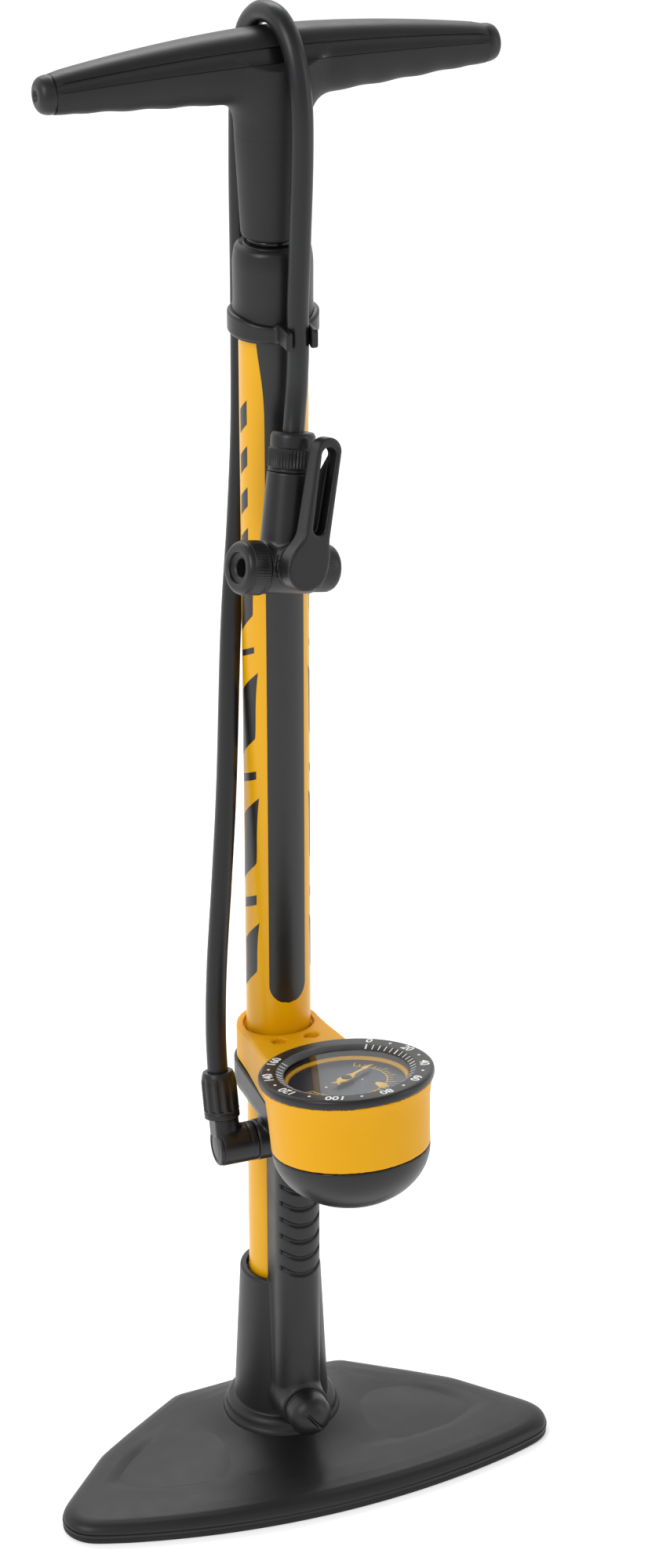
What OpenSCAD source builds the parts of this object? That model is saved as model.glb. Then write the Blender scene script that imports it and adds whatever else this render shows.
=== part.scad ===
// Hand-worked floor pump: T handle, steel barrel, foot plate, low dial gauge,
// and a hose that is hooked over the handle and ends in a twin-nozzle lever head.
// Millimetres. Floor at z = 0, barrel axis on Z, gauge and hose front toward -Y,
// handle along X.

/* [Foot plate] */
// width over the two tread wings
base_w = 248; // [220:1:290]
// how far the front edge stands ahead of the barrel axis
base_front = 72; // [60:1:90]
// how far the back edge stands behind the barrel axis
base_back = 34; // [28:1:50]
// height of the plate where it meets the socket
base_h = 18; // [12:1:26]
// height of the rubber rim
pad_h = 3; // [2:0.5:5]

/* [Barrel and socket] */
// outside diameter of the barrel
barrel_d = 30; // [28:1:38]
// wall of the barrel
barrel_wall = 1.5; // [1:0.1:2.5]
// lower end of the barrel
barrel_z0 = 48; // [40:1:60]
// upper end of the barrel
barrel_z1 = 602; // [560:1:640]
// top of the socket sleeve
socket_top = 100; // [80:1:120]
// half width of the air duct spine
spine_r = 11; // [8:0.5:14]
// top of the spine
spine_top = 182; // [170:1:200]

/* [Gauge housing] */
// distance of the gauge centre ahead of the barrel axis
gauge_y = 85; // [70:1:100]
// sideways place of the gauge centre, as the clamp is turned a little
gauge_x = 1.5; // [-5:0.5:5]
// height of the gauge face
gauge_z = 254; // [230:1:280]
// lean of the gauge face toward the barrel
gauge_tilt = 10; // [0:1:20]
// outside diameter of the bezel
bezel_d = 79; // [70:1:90]
// outside radius of the clamp collar on the barrel
collar_r = 19.7; // [18:0.1:22]
// height of the yellow and black joint at the collar
seam_z = 217; // [210:1:225]
// top of the clamp collar
collar_top = 234; // [230:1:245]

/* [Handle] */
// length over the end caps
handle_w = 208; // [180:1:260]
// height of the middle of the handle
handle_z = 690; // [670:1:720]
// lower end of the neck, with the handle pushed down
neck_z = 616; // [612:1:630]
// travel of the handle
stroke = 480; // [400:5:490]
// turn of the handle about the barrel
handle_turn = 3.5; // [-10:0.5:10]

/* [Hose and head] */
// outside diameter of the hose
hose_d = 9.4; // [8:0.2:11]
// height of the top of the head collar
head_z = 537.4; // [500:0.2:550]
// sideways lean of the hanging head
head_lean = 9.9; // [0:0.1:15]
// how far the lower end of the head swings out from the barrel
head_pitch = 14; // [0:1:20]
// turn of the head about its own axis
head_turn = 11; // [0:1:20]
// extra lean of the lever
lever_lean = 4.5; // [0:0.5:15]
// reach of the lever from its pivot
lever_len = 56; // [45:1:70]

/* [Hidden] */
$fn = 48;
black = [0.09, 0.09, 0.1];
soft = [0.14, 0.14, 0.15];
yellow = [0.93, 0.68, 0.1];
steel = [0.72, 0.73, 0.75];
brass = [0.78, 0.62, 0.3];
rubber = [0.05, 0.05, 0.055];
barrel_r = barrel_d / 2;
bore_r = barrel_r - barrel_wall;
hose_r = hose_d / 2;
rod_r = 6;
collar_hole = barrel_r + 0.05;
foot_r = 27.3;
elbow_c = [-38, -32, 192];
elbow_back = 15;
valve_z = 37;
pinion_n = 12;
sector_n = 60;
tooth_m = 0.5;
gear_gap = tooth_m * (pinion_n + sector_n) / 2;
needle_a = 32;
pivot_x = -2.5;
pivot_z = -55.9;
cross_z = -58.5;

// ---- small helpers ---------------------------------------------------------
module tube(r1, r2, z0, z1) {
  difference() {
    translate([0, 0, z0]) cylinder(r = r1, h = z1 - z0);
    translate([0, 0, z0 - 1]) cylinder(r = r2, h = z1 - z0 + 2);
  }
}
module torus(ring_r, wire_r) {
  rotate_extrude() translate([ring_r, 0]) circle(r = wire_r, $fn = 24);
}
// ring of n ribs between two radii
module ribbed(n, r_low, r_high, share) {
  polygon([for (i = [0:n - 1], k = [0:3])
    let (a = (i + [0, share * 0.4, share * 0.6 + 0.1, share + 0.1][k]) * 360 / n,
         r = (k == 0 || k == 3) ? r_low : r_high)
    [r * cos(a), r * sin(a)]]);
}
function arc(cx, cy, r, a0, a1, n) =
  [for (i = [0:n]) let (a = a0 + (a1 - a0) * i / n) [cx + r * cos(a), cy + r * sin(a)]];
// closed skin through equal rings; the last ring joins the first when loop is set
module skin(rings, loop = false) {
  m = len(rings);
  n = len(rings[0]);
  pts = [for (r = rings) each r];
  last = loop ? m - 1 : m - 2;
  side = [for (j = [0:last], i = [0:n - 1])
    let (a = j * n + i, b = j * n + (i + 1) % n,
         c = ((j + 1) % m) * n + i, d = ((j + 1) % m) * n + (i + 1) % n)
    each [[a, c, b], [b, c, d]]];
  ends = loop ? [] : [[for (i = [0:n - 1]) i], [for (i = [n - 1:-1:0]) (m - 1) * n + i]];
  polyhedron(points = pts, faces = concat(side, ends), convexity = 6);
}

// ---- foot plate ------------------------------------------------------------
tip_r = 16;
tip_x = base_w / 2 - tip_r;
front_big = 375;
half_line = concat(
  arc(0, front_big - base_front, front_big, -90, -74.5, 7),
  arc(tip_x, -39, tip_r, -72, 48, 8),
  [[base_w * 0.37, 2], [base_w * 0.3, 13.5], [base_w * 0.225, 23]],
  arc(38, base_back - 12, 12, 50, 86, 3),
  [[18, base_back + 0.2], [6.5, base_back + 0.25]]);
outline = concat(half_line, [for (i = [len(half_line) - 1:-1:1])
  [-half_line[i][0], half_line[i][1]]]);
function plate_ring(s, z, r_mid = foot_r) =
  [for (p = outline) let (q = p * r_mid / norm(p)) [p[0] + (q[0] - p[0]) * s,
    p[1] + (q[1] - p[1]) * s, z]];
screw_at = [[31, 45], [31, 135], [31, 225], [31, 315]];

module base_plate() color(black) difference() {
  union() {
    skin([plate_ring(0, pad_h), plate_ring(0, pad_h + 2.5),
          plate_ring(0.02, pad_h + 4.5), plate_ring(0.08, 9.5),
          plate_ring(0.2, 11.6), plate_ring(0.4, 13.6), plate_ring(0.7, 15.8),
          plate_ring(1, base_h), plate_ring(1, base_h - 3.2),
          plate_ring(0.7, 12.8), plate_ring(0.4, 10.6), plate_ring(0.2, 8.6),
          plate_ring(0.1, 6.6), plate_ring(0.06, 5), plate_ring(0.06, pad_h)],
         loop = true);
    for (s = screw_at) rotate([0, 0, s[1]]) translate([s[0], 0, 11.05])
      cylinder(r = 3.4, h = 3.5);
  }
  for (s = screw_at) rotate([0, 0, s[1]]) translate([s[0], 0, 8])
    cylinder(r = 1.6, h = 6.2);
}
module base_pad() color(rubber)
  skin([plate_ring(-0.004, 0), plate_ring(-0.004, pad_h), plate_ring(0.1, pad_h),
        plate_ring(0.1, 0)], loop = true);
module base_screws() color(steel)
  for (s = screw_at) rotate([0, 0, s[1]]) translate([s[0], 0, 0]) {
    translate([0, 0, 4.4]) cylinder(r = 3, h = 2.55);
    translate([0, 0, 6.9]) cylinder(r = 1.55, h = 7);
  }

// ---- socket, spine and check valve ----------------------------------------
module duct_plan(grow = 0) {
  translate([0, -23]) circle(r = spine_r + grow);
  translate([-spine_r - grow, -23]) square([2 * (spine_r + grow), 17]);
}
module foot_housing() color(black) difference() {
  union() {
    cylinder(r = 14, h = 8);
    intersection() {
      translate([0, 0, 7]) cylinder(r = 35, h = 4);
      translate([-50, -50, 0]) cube([100, 73, 20]);
    }
    translate([0, 0, 7]) cylinder(r = foot_r - 0.9, h = base_h - 6.9);
    translate([0, 0, base_h]) cylinder(r1 = foot_r - 0.5, r2 = 22.8, h = 8);
    translate([0, 0, 25.9]) cylinder(r1 = 22.8, r2 = 19.4, h = socket_top - 27.1);
    translate([0, 0, socket_top - 1.2]) cylinder(r1 = 19.4, r2 = 18.2, h = 1.2);
    translate([0, 0, 48]) linear_extrude(height = spine_top - 48) duct_plan();
    translate([0, -20, valve_z]) rotate([90, 0, 0]) cylinder(r = 11.6, h = 14);
  }
  // barrel seat, with a chamber under the plug
  translate([0, 0, barrel_z0 - 4]) cylinder(r = collar_hole, h = 200);
  translate([0, 0, 30]) cylinder(r = 8, h = 20);
  // feed to the check valve, its chamber and the rising duct
  translate([0, 0, valve_z]) rotate([90, 0, 0]) cylinder(r = 3.5, h = 25);
  translate([0, -23, valve_z]) rotate([90, 0, 0]) cylinder(r = 6.6, h = 12);
  translate([0, -28, valve_z]) cylinder(r = 3, h = 160);
  // grip grooves round the front of the spine
  for (i = [0:6]) translate([0, -23, 113 + i * 9.1]) rotate([12, 0, 0])
    rotate([0, 0, 170]) rotate_extrude(angle = 200)
      translate([spine_r - 1.1, 0]) square([4, 1.7]);
  for (s = screw_at) rotate([0, 0, s[1]]) translate([s[0], 0, 6])
    cylinder(r = 1.7, h = 8);
  // hollow underside round the hub
  difference() {
    translate([0, 0, -1]) cylinder(r = 40, h = 8);
    translate([0, 0, -2]) cylinder(r = 14, h = 12);
  }
}
module lower_plug() color(black) difference() {
  union() {
    translate([0, 0, barrel_z0 - 4]) cylinder(r = barrel_r, h = 4);
    translate([0, 0, barrel_z0]) cylinder(r = bore_r - 0.05, h = 10);
  }
  translate([0, 0, barrel_z0 - 5]) cylinder(r = 4, h = 20);
  tube(barrel_r + 1, 11.6, barrel_z0 + 4, barrel_z0 + 6);
}
module plug_o_ring() color(rubber) translate([0, 0, barrel_z0 + 5]) torus(12.52, 0.92);
module barrel() color(yellow) tube(barrel_r, bore_r, barrel_z0, barrel_z1);

module valve_cap() color(black) translate([0, -34, valve_z]) rotate([90, 0, 0]) difference() {
  union() {
    translate([0, 0, 0.05]) linear_extrude(height = 7) ribbed(10, 9.7, 10.6, 0.7);
    translate([0, 0, 7.05]) cylinder(r1 = 9.8, r2 = 9.3, h = 3);
    translate([0, 0, 10.05]) cylinder(r1 = 9.3, r2 = 7.8, h = 2.6);
    translate([0, 0, 12.65]) cylinder(r1 = 7.8, r2 = 4.6, h = 2.1);
    translate([0, 0, -3.9]) cylinder(r = 6.5, h = 4);
  }
  translate([0, 0, -5]) cylinder(r = 3.8, h = 13);
  translate([0, 0, -5]) cylinder(r = 4.75, h = 8);
  tube(8, 5.6, -3.2, -1.2);
}
module valve_cap_ring() color(rubber)
  translate([0, -34 + 2.2, valve_z]) rotate([90, 0, 0]) torus(6.12, 0.45);
module valve_ball() color(steel) translate([0, -25.85, valve_z]) sphere(r = 4.5);
module valve_spring() color(steel) translate([0, -30.5, valve_z]) rotate([90, 0, 0])
  skin([for (i = [0:84]) let (a = i * 30, c = [2.9 * cos(a), 2.9 * sin(a), 0.5 + i * 0.122],
    u = [cos(a), sin(a), 0]) [for (k = [0:5])
    c + 0.45 * (cos(k * 60) * u + sin(k * 60) * [0, 0, 1])]]);

// ---- gauge housing ---------------------------------------------------------
module at_gauge() translate([gauge_x, -gauge_y, gauge_z]) rotate([-gauge_tilt, 0, 0]) children();
module bowl_wall(lo, hi) rotate_extrude() polygon([[0, lo], [35.8, lo], [36.2, -28],
  [36.9, -16], [38.4, hi], [0, hi]]);
module bowl_base(r, h) rotate_extrude() polygon(concat([[0, -36]],
  [for (a = [0:9:90]) [r * cos(a), -36 - h * sin(a)]]));
module bridge(z0, z1, r0) hull() {
  translate([0, 0, z0]) cylinder(r = r0, h = z1 - z0, $fn = 64);
  translate([-25, -52, z0]) cube([50, 1, z1 - z0 + 6]);
}
module bracket_holes(z0, z1, r) for (x = [-7.8, 7.8]) translate([x, -22.5, z0])
  cylinder(r = r, h = z1 - z0);

module housing_upper() color(yellow) difference() {
  union() {
    bridge(seam_z, collar_top, collar_r);
    at_gauge() bowl_wall(-36, -4.5);
  }
  at_gauge() {
    translate([0, 0, -60]) cylinder(r = 33, h = 80);
    translate([0, 0, -6.6]) cylinder(r = 35.5, h = 80);
    translate([0, 0, -66]) cylinder(r = 60, h = 30);
  }
  translate([0, 0, 100]) cylinder(r = collar_hole, h = 300);
  bracket_holes(200, 300, 1.7);
  bracket_holes(collar_top - 0.4, 300, 3.6);
}
module housing_lower() color(black) difference() {
  union() {
    bridge(203, seam_z - 3, collar_r);
    translate([0, 0, seam_z - 8]) cylinder(r = collar_r, h = 8);
    hull() {
      translate([0, 0, 203]) cylinder(r = collar_r, h = 1, $fn = 64);
      translate([0, 0, spine_top + 0.1]) cylinder(r = 12, h = 1, $fn = 64);
    }
    hull() {
      translate([-11, -34, spine_top + 0.1]) cube([22, 30, 20]);
      translate([-22, -60, 207]) cube([44, 56, 1]);
    }
    translate([-22, -60, 206]) cube([44, 54, 8]);
    translate([-22, -53, 206]) cube([44, 47, seam_z - 206]);
    translate([elbow_c[0] + 14, elbow_c[1], elbow_c[2]]) rotate([0, 90, 0])
      cylinder(r = 9.6, h = 24);
    at_gauge() bowl_base(35.8, 27.5);
  }
  at_gauge() {
    translate([0, 0, -36]) cylinder(r = 80, h = 100);
    translate([0, 0, 0.01]) bowl_base(33, 24.7);
  }
  translate([-40, -80, seam_z]) cube([80, 120, 60]);
  translate([0, 0, 100]) cylinder(r = collar_hole, h = 300);
  bracket_holes(206, 300, 1.6);
  translate([0, -28, 150]) cylinder(r = 3, h = 60);
  translate([elbow_c[0], elbow_c[1], elbow_c[2]]) rotate([0, 90, 0])
    cylinder(r = 3.5, h = 38);
  translate([0, -28, 207.5]) rotate([90, 0, 0]) cylinder(r = 2.5, h = 35);
}
module bracket_screws() color(steel) {
  bracket_holes(collar_top - 0.35, collar_top + 1.3, 3.2);
  bracket_holes(207, collar_top - 0.3, 1.5);
}

// ---- gauge face and movement ----------------------------------------------
module bezel() color(black) at_gauge() rotate_extrude() polygon([[28.2, -1.85],
  [31.7, -0.1], [37.8, 0], [39, -0.4], [bezel_d / 2, -1.4], [bezel_d / 2, -3.4],
  [38.6, -4.45], [35.6, -4.45], [35.6, -2.2], [32, -2.2], [32, -1.85]]);
module lens() color([0.9, 0.95, 1, 0.35]) at_gauge()
  translate([0, 0, -3]) cylinder(r = 31.9, h = 1.1);
module dial_ring() color(yellow) at_gauge() rotate_extrude() polygon([[27.6, -3.05],
  [34.9, -3.05], [34.9, -5.9], [25.2, -5.9]]);
module dial() color(soft) at_gauge() difference() {
  translate([0, 0, -6.55]) cylinder(r = 35.3, h = 0.6);
  translate([0, 0, -8]) cylinder(r = 1.2, h = 4);
}
module gear_plan(n, skip) {
  r = tooth_m * n / 2;
  w = 360 / n;
  circle(r = r - 0.62);
  for (i = [0:n - 1]) if (skip[0] <= i && i <= skip[1]) rotate(i * w)
    polygon([[0, 0], [(r - 0.7) * cos(w * 0.3), -(r - 0.7) * sin(w * 0.3)],
      [r * cos(w * 0.2), -r * sin(w * 0.2)], [r + 0.34, -(r + 0.34) * sin(w * 0.09)],
      [r + 0.34, (r + 0.34) * sin(w * 0.09)], [r * cos(w * 0.2), r * sin(w * 0.2)],
      [(r - 0.7) * cos(w * 0.3), (r - 0.7) * sin(w * 0.3)]]);
}
module needle() color(brass) at_gauge() {
  translate([0, 0, -4.6]) linear_extrude(height = 0.5) rotate(needle_a) {
    circle(r = 2.6);
    polygon([[-7, -1.5], [-7, 1.5], [0, 0.9], [18, 0.25], [18, -0.25], [0, -0.9]]);
  }
  translate([0, 0, -4.2]) cylinder(r = 1.4, h = 0.8);
  translate([0, 0, -17.4]) cylinder(r = 0.8, h = 13);
  translate([0, 0, -15]) linear_extrude(height = 3) gear_plan(pinion_n, [0, 11]);
}
module sector_gear() color(brass) at_gauge() {
  translate([-gear_gap, 0, -14.6]) difference() {
    linear_extrude(height = 1.6) difference() {
      rotate(3) gear_plan(sector_n, [0, 59]);
      rotate(90) translate([-30, 2.6]) square([60, 40]);
      rotate(-12) translate([-20, -40]) square([60, 40]);
      rotate(70) translate([-20, 0]) square([60, 40]);
      rotate(29) translate([9, 0]) circle(r = 3.4);
    }
    translate([0, 0, -1]) cylinder(r = 1.05, h = 5);
  }
}
module movement_frame() color(brass) at_gauge() difference() {
  union() {
    translate([0, 0, -19]) linear_extrude(height = 1.6) hull() {
      translate([6, 0]) circle(r = 6);
      translate([-gear_gap - 4, 0]) circle(r = 6);
    }
    translate([-gear_gap, 0, -18]) cylinder(r = 1, h = 9);
    for (x = [8, -gear_gap - 6.5]) translate([x, 0, -19]) cylinder(r = 2.4, h = 12.4);
  }
  translate([0, 0, -20]) cylinder(r = 0.9, h = 5);
}
module bourdon_tube() color(brass) at_gauge() {
  translate([0, 0, -27]) rotate([0, 0, 95]) rotate_extrude(angle = 265)
    translate([24, 0]) circle(r = 2.4, $fn = 24);
  translate([-5, 19, -31]) cube([10, 13, 8]);
  translate([0, 24, -34]) cylinder(r = 3, h = 4);
}

// ---- outlet elbow ----------------------------------------------------------
module at_elbow() translate(elbow_c) rotate([-elbow_back, 0, 0]) children();
module swivel_elbow() color(black) difference() {
  union() {
    translate(elbow_c + [-3, 0, 0]) rotate([0, 90, 0]) cylinder(r = 9.3, h = 16.9);
    intersection() {
      at_elbow() cylinder(r = 6.6, h = 14);
      translate(elbow_c + [-3, -30, 0]) cube([40, 60, 60]);
    }
    at_elbow() translate([0, 0, 13]) cylinder(r = 2.4, h = 10.6);
  }
  translate(elbow_c + [-1, 0, 0]) rotate([0, 90, 0]) cylinder(r = 3.5, h = 30);
  at_elbow() cylinder(r = 1.5, h = 40);
}
module elbow_cap() color(black) translate(elbow_c + [-3.05, 0, 0]) rotate([0, -90, 0])
  difference() {
    cylinder(r1 = 8.8, r2 = 7.9, h = 1.8);
    translate([0, 0, 1]) cylinder(r = 3, h = 3);
  }
module hose_nut() color(black) at_elbow() difference() {
  union() {
    translate([0, 0, 14.1]) linear_extrude(height = 3) circle(r = 7.8);
    translate([0, 0, 17]) linear_extrude(height = 15) ribbed(12, 7.6, 8.4, 0.6);
    translate([0, 0, 32]) cylinder(r1 = 7.8, r2 = 6.9, h = 4);
  }
  translate([0, 0, 13]) cylinder(r = 2.5, h = 12);
  translate([0, 0, 24]) cylinder(r = hose_r + 0.05, h = 20);
}

// ---- hose ------------------------------------------------------------------
hose_route = [[-38, -25.8, 215.2], [-38, -23, 226], [-37, -18, 246], [-34, -12, 276],
  [-29, -6, 316], [-24, 0, 362], [-18, 9, 432], [-12, 16, 480], [-8, 21, 520],
  [-6, 25, 560], [-5.5, 26, 600], [-5.5, 26, 640], [-5, 25, 676], [-4.5, 19, 698],
  [-3, 10, 708.2], [-1, 0, 711.4], [1, -10, 709], [3, -19.5, 698.5], [4, -25, 680],
  [4, -26, 656], [3, -25.6, 620], [2, -25.2, 590], [2, -25.4, 572], [1.5, -25, 556.5],
  [0.09, -26.36, 545.05], [-1.25, -28.3, 537.4], [-1.75, -29.03, 534.53]];
function curve(p, i, t) = let (n = len(p) - 1, a = p[max(i - 1, 0)], b = p[i],
  c = p[i + 1], d = p[min(i + 2, n)])
  0.5 * (2 * b + (c - a) * t + (2 * a - 5 * b + 4 * c - d) * t * t
  + (3 * b - a - 3 * c + d) * t * t * t);
hose_line = concat([for (i = [0:len(hose_route) - 2], k = [0:1])
  curve(hose_route, i, k / 2)], [hose_route[len(hose_route) - 1]]);
head_axis = [cos(head_pitch) * sin(head_lean), sin(head_pitch),
             cos(head_pitch) * cos(head_lean)];
function unit(v) = v / norm(v);
function way(p, i) = i == 0 ? [0, sin(elbow_back), cos(elbow_back)] :
  i == len(p) - 1 ? -head_axis : unit(p[i + 1] - p[i - 1]);
module hose() color(rubber) skin([for (i = [0:len(hose_line) - 1])
  let (w = way(hose_line, i), u = unit(cross(w, [1, 0.15, 0])), v = cross(w, u))
  [for (k = [0:9]) hose_line[i] + hose_r * (cos(k * 36) * u + sin(k * 36) * v)]]);

// ---- top cap ---------------------------------------------------------------
module top_cap() color(black) difference() {
  union() {
    translate([0, 0, 574]) cylinder(r = 17.3, h = 32.5);
    translate([0, 0, 606.5]) cylinder(r1 = 17.3, r2 = 16.1, h = 3.5);
    translate([0, 0, 610]) cylinder(r1 = 16.1, r2 = 13.2, h = 3.5);
  }
  translate([0, 0, 570]) cylinder(r = collar_hole, h = barrel_z1 - 570);
  translate([0, 0, 600]) cylinder(r = rod_r + 0.3, h = 20);
}
clip_at = [2, -25.3];
module hose_clip() color(black) translate([0, 0, 574]) difference() {
  union() {
    cylinder(r = 19.8, h = 8.2);
    translate([clip_at[0], clip_at[1], 0.8]) cylinder(r = 7.4, h = 9.4);
  }
  translate([0, 0, -1]) cylinder(r = 17.35, h = 20);
  translate([clip_at[0], clip_at[1], -1]) cylinder(r = hose_r + 0.4, h = 20);
  translate([clip_at[0] - 4.2, clip_at[1] - 12, -1]) cube([8.4, 12, 20]);
}
module rod_bush() color(soft) difference() {
  translate([0, 0, 576]) cylinder(r = bore_r - 0.05, h = barrel_z1 - 576);
  translate([0, 0, 570]) cylinder(r = rod_r + 0.06, h = 40);
}
module rod_bumper() color(rubber) tube(11, rod_r + 0.3, 613.5, neck_z - 0.05);

// ---- plunger ---------------------------------------------------------------
module piston_rod() color(steel) difference() {
  translate([0, 0, 70]) cylinder(r = rod_r, h = 612);
  translate([0, 0, 88]) cylinder(r = rod_r - 1, h = 572);
  translate([0, 0, 60]) cylinder(r = 2.5, h = 20);
  translate([0, 0, 668]) cylinder(r = 2.5, h = 20);
}
module piston() color(soft) difference() {
  translate([0, 0, 64]) cylinder(r = bore_r - 0.08, h = 22);
  translate([0, 0, 70]) cylinder(r = rod_r + 0.03, h = 30);
  translate([0, 0, 60]) cylinder(r = 2.6, h = 20);
  tube(16, 11.2, 67.5, 70.5);
  tube(16, 12.4, 78, 82);
}
module piston_ring() color(rubber) translate([0, 0, 69]) torus(12.32, 1.08);
module piston_bolt() color(steel) {
  translate([0, 0, 60.4]) cylinder(r = 4.6, h = 3.55, $fn = 6);
  translate([0, 0, 63.9]) cylinder(r = 2.45, h = 14);
}

// ---- handle ----------------------------------------------------------------
// full section of the bar at x: half height, half depth and middle
function far(x) = abs(x) / 97;
function bar_h(x) = 15.2 - 7 * pow(far(x), 1.6);
function bar_w(x) = 13.6 - 5.4 * pow(far(x), 1.5);
function bar_z(x) = handle_z - 2.4 * pow(far(x), 2);
function dip(x, a) = abs(x) < 30 || a > -20 ? 0 : 0.25 * (1 - cos((abs(x) - 30) * 20)) * -sin(a);
function squash(v) = sign(v) * pow(abs(v), 0.8);
function bar_pt(x, a, f) = [x, f * bar_w(x) * squash(cos(a)),
  bar_z(x) + f * (bar_h(x) - dip(x, a)) * squash(sin(a))];
split_a = 38;
function core_ring(x) = concat(
  [for (a = [split_a:13:180 - split_a]) bar_pt(x, a, 1)],
  [for (a = [180 - split_a:(180 + 2 * split_a) / 12:360 + split_a + 0.1]) bar_pt(x, a, 0.62)]);
function grip_ring(x) = concat(
  [for (a = [180 - split_a + 1:(178 + 2 * split_a) / 14:360 + split_a]) bar_pt(x, a, 1)],
  [for (a = [360 + split_a - 1:-(178 + 2 * split_a) / 14:180 - split_a]) bar_pt(x, a, 0.63)]);
function whole_ring(x) = [for (a = [0:15:345]) bar_pt(x, a, 1)];
module handle_core() color(black) rotate([0, 0, handle_turn]) difference() {
  union() {
    skin([for (x = [-96:12:96]) core_ring(x)]);
    skin([for (x = [-22:5.5:22]) whole_ring(x)]);
    translate([0, 0, neck_z]) cylinder(r1 = 13.1, r2 = 13.5, h = 1.2);
    translate([0, 0, neck_z + 1.2]) cylinder(r1 = 13.5, r2 = 16, h = 46);
    translate([0, 0, neck_z + 47.2]) cylinder(r1 = 16, r2 = 13.4, h = 30);
  }
  translate([0, 0, 600]) cylinder(r = rod_r + 0.03, h = 82);
  translate([0, 0, 660]) cylinder(r = 2.7, h = 60);
  translate([0, 0, 698]) cylinder(r = 5, h = 20);
}
module handle_grip_left() color(soft) rotate([0, 0, handle_turn])
  skin([for (x = [-96:5:-26]) grip_ring(x)]);
module handle_grip_right() color(soft) rotate([0, 0, handle_turn])
  skin([for (x = [26:5:96]) grip_ring(x)]);
module end_cap() rotate_extrude() polygon([[0, 0.05], [8, 0.05], [8.1, 2.4],
  [7.2, 5.6], [5.4, 7.2], [2.4, 7.6], [2, 6.8], [0, 6.6]]);
module handle_cap_left() color(black) rotate([0, 0, handle_turn])
  translate([-96, 0, bar_z(96)]) rotate([0, -90, 0]) end_cap();
module handle_cap_right() color(black) rotate([0, 0, handle_turn])
  translate([96, 0, bar_z(96)]) rotate([0, 90, 0]) end_cap();
module handle_bolt() color(steel) difference() {
  union() {
    translate([0, 0, 698.05]) cylinder(r = 4.4, h = 4);
    translate([0, 0, 672]) cylinder(r = 2.45, h = 26.1);
  }
  translate([0, 0, 699.5]) cylinder(r = 2.3, h = 4, $fn = 6);
}

// ---- twin-nozzle head ------------------------------------------------------
module at_head() translate([-1.25, -28.3, head_z]) rotate([0, head_lean, 0])
  rotate([-head_pitch, 0, 0]) rotate([0, 0, head_turn]) children();
module head_collar() color(black) at_head() difference() {
  union() {
    translate([0, 0, -7]) cylinder(r = 9.7, h = 6.2);
    translate([0, 0, -0.8]) cylinder(r1 = 9.7, r2 = 9, h = 0.8);
    translate([0, 0, -15.6]) linear_extrude(height = 8.8) ribbed(36, 9.9, 10.4, 0.5);
    translate([0, 0, -17]) cylinder(r = 9.9, h = 1.5);
  }
  translate([0, 0, -3.6]) cylinder(r = hose_r + 0.1, h = 10);
  translate([0, 0, -20]) cylinder(r = 6, h = 16.5);
}
module head_body() color(black) at_head() difference() {
  union() {
    translate([0, 0, -18]) cylinder(r = 5.9, h = 13.9);
    translate([0, 0, -40]) cylinder(r1 = 10.8, r2 = 10.2, h = 22.9);
    hull() {
      translate([0, 0, -42]) cylinder(r = 10.8, h = 2, $fn = 40);
      translate([-12.6, 0, cross_z + 5]) rotate([0, 90, 0]) cylinder(r = 8.4, h = 25.2, $fn = 40);
    }
    translate([-12.9, 0, cross_z]) rotate([0, 90, 0]) cylinder(r = 11.2, h = 25.8);
    translate([pivot_x, -7, pivot_z]) rotate([90, 0, 0]) cylinder(r = 8.8, h = 7.2);
  }
  translate([0, 0, -60]) cylinder(r = 2.2, h = 70);
  translate([-16, 0, cross_z]) rotate([0, 90, 0]) cylinder(r = 4.5, h = 32);
  translate([pivot_x, 0, pivot_z]) rotate([90, 0, 0]) cylinder(r = 2, h = 20);
}
module nozzle_cap(r, hole) difference() {
  union() {
    linear_extrude(height = 8) ribbed(30, r - 0.4, r, 0.5);
    translate([0, 0, 7.9]) cylinder(r1 = r - 0.5, r2 = r - 1.5, h = 3.1);
  }
  translate([0, 0, -1]) cylinder(r = 8, h = 9.5);
  translate([0, 0, 5]) cylinder(r = hole, h = 10);
  translate([0, 0, 9.6]) cylinder(r1 = hole, r2 = hole + 1.5, h = 1.5);
}
module at_nozzle(side) at_head() translate([side * 13, 0, cross_z])
  rotate([0, side * 90, 0]) children();
module nozzle_cap_left() color(black) at_nozzle(-1) nozzle_cap(11.8, 4.8);
module nozzle_cap_right() color(black) at_nozzle(1) nozzle_cap(10.6, 4.2);
module nozzle_seal_left() color(rubber) at_nozzle(-1) tube(7.9, 3.9, 0.05, 8.45);
module nozzle_seal_right() color(rubber) at_nozzle(1) tube(7.9, 2.9, 0.05, 8.45);
module at_lever() at_head() translate([pivot_x, -14.5, pivot_z])
  rotate([0, lever_lean, 0]) rotate([90, 0, 0]) children();
arm_mid = 2.7;
arm_half = 6.3;
module lever_plan() {
  circle(r = 9.9);
  translate([arm_mid, lever_len - arm_half]) circle(r = arm_half);
  polygon([[-9.5, 1.5], [-7.9, 8], [-5.6, 14.5], [-4.2, 22], [arm_mid - arm_half, 34],
    [arm_mid - arm_half + 0.05, lever_len - arm_half],
    [arm_mid + arm_half - 0.05, lever_len - arm_half], [arm_mid + arm_half, 22], [9.6, 1]]);
}
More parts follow.
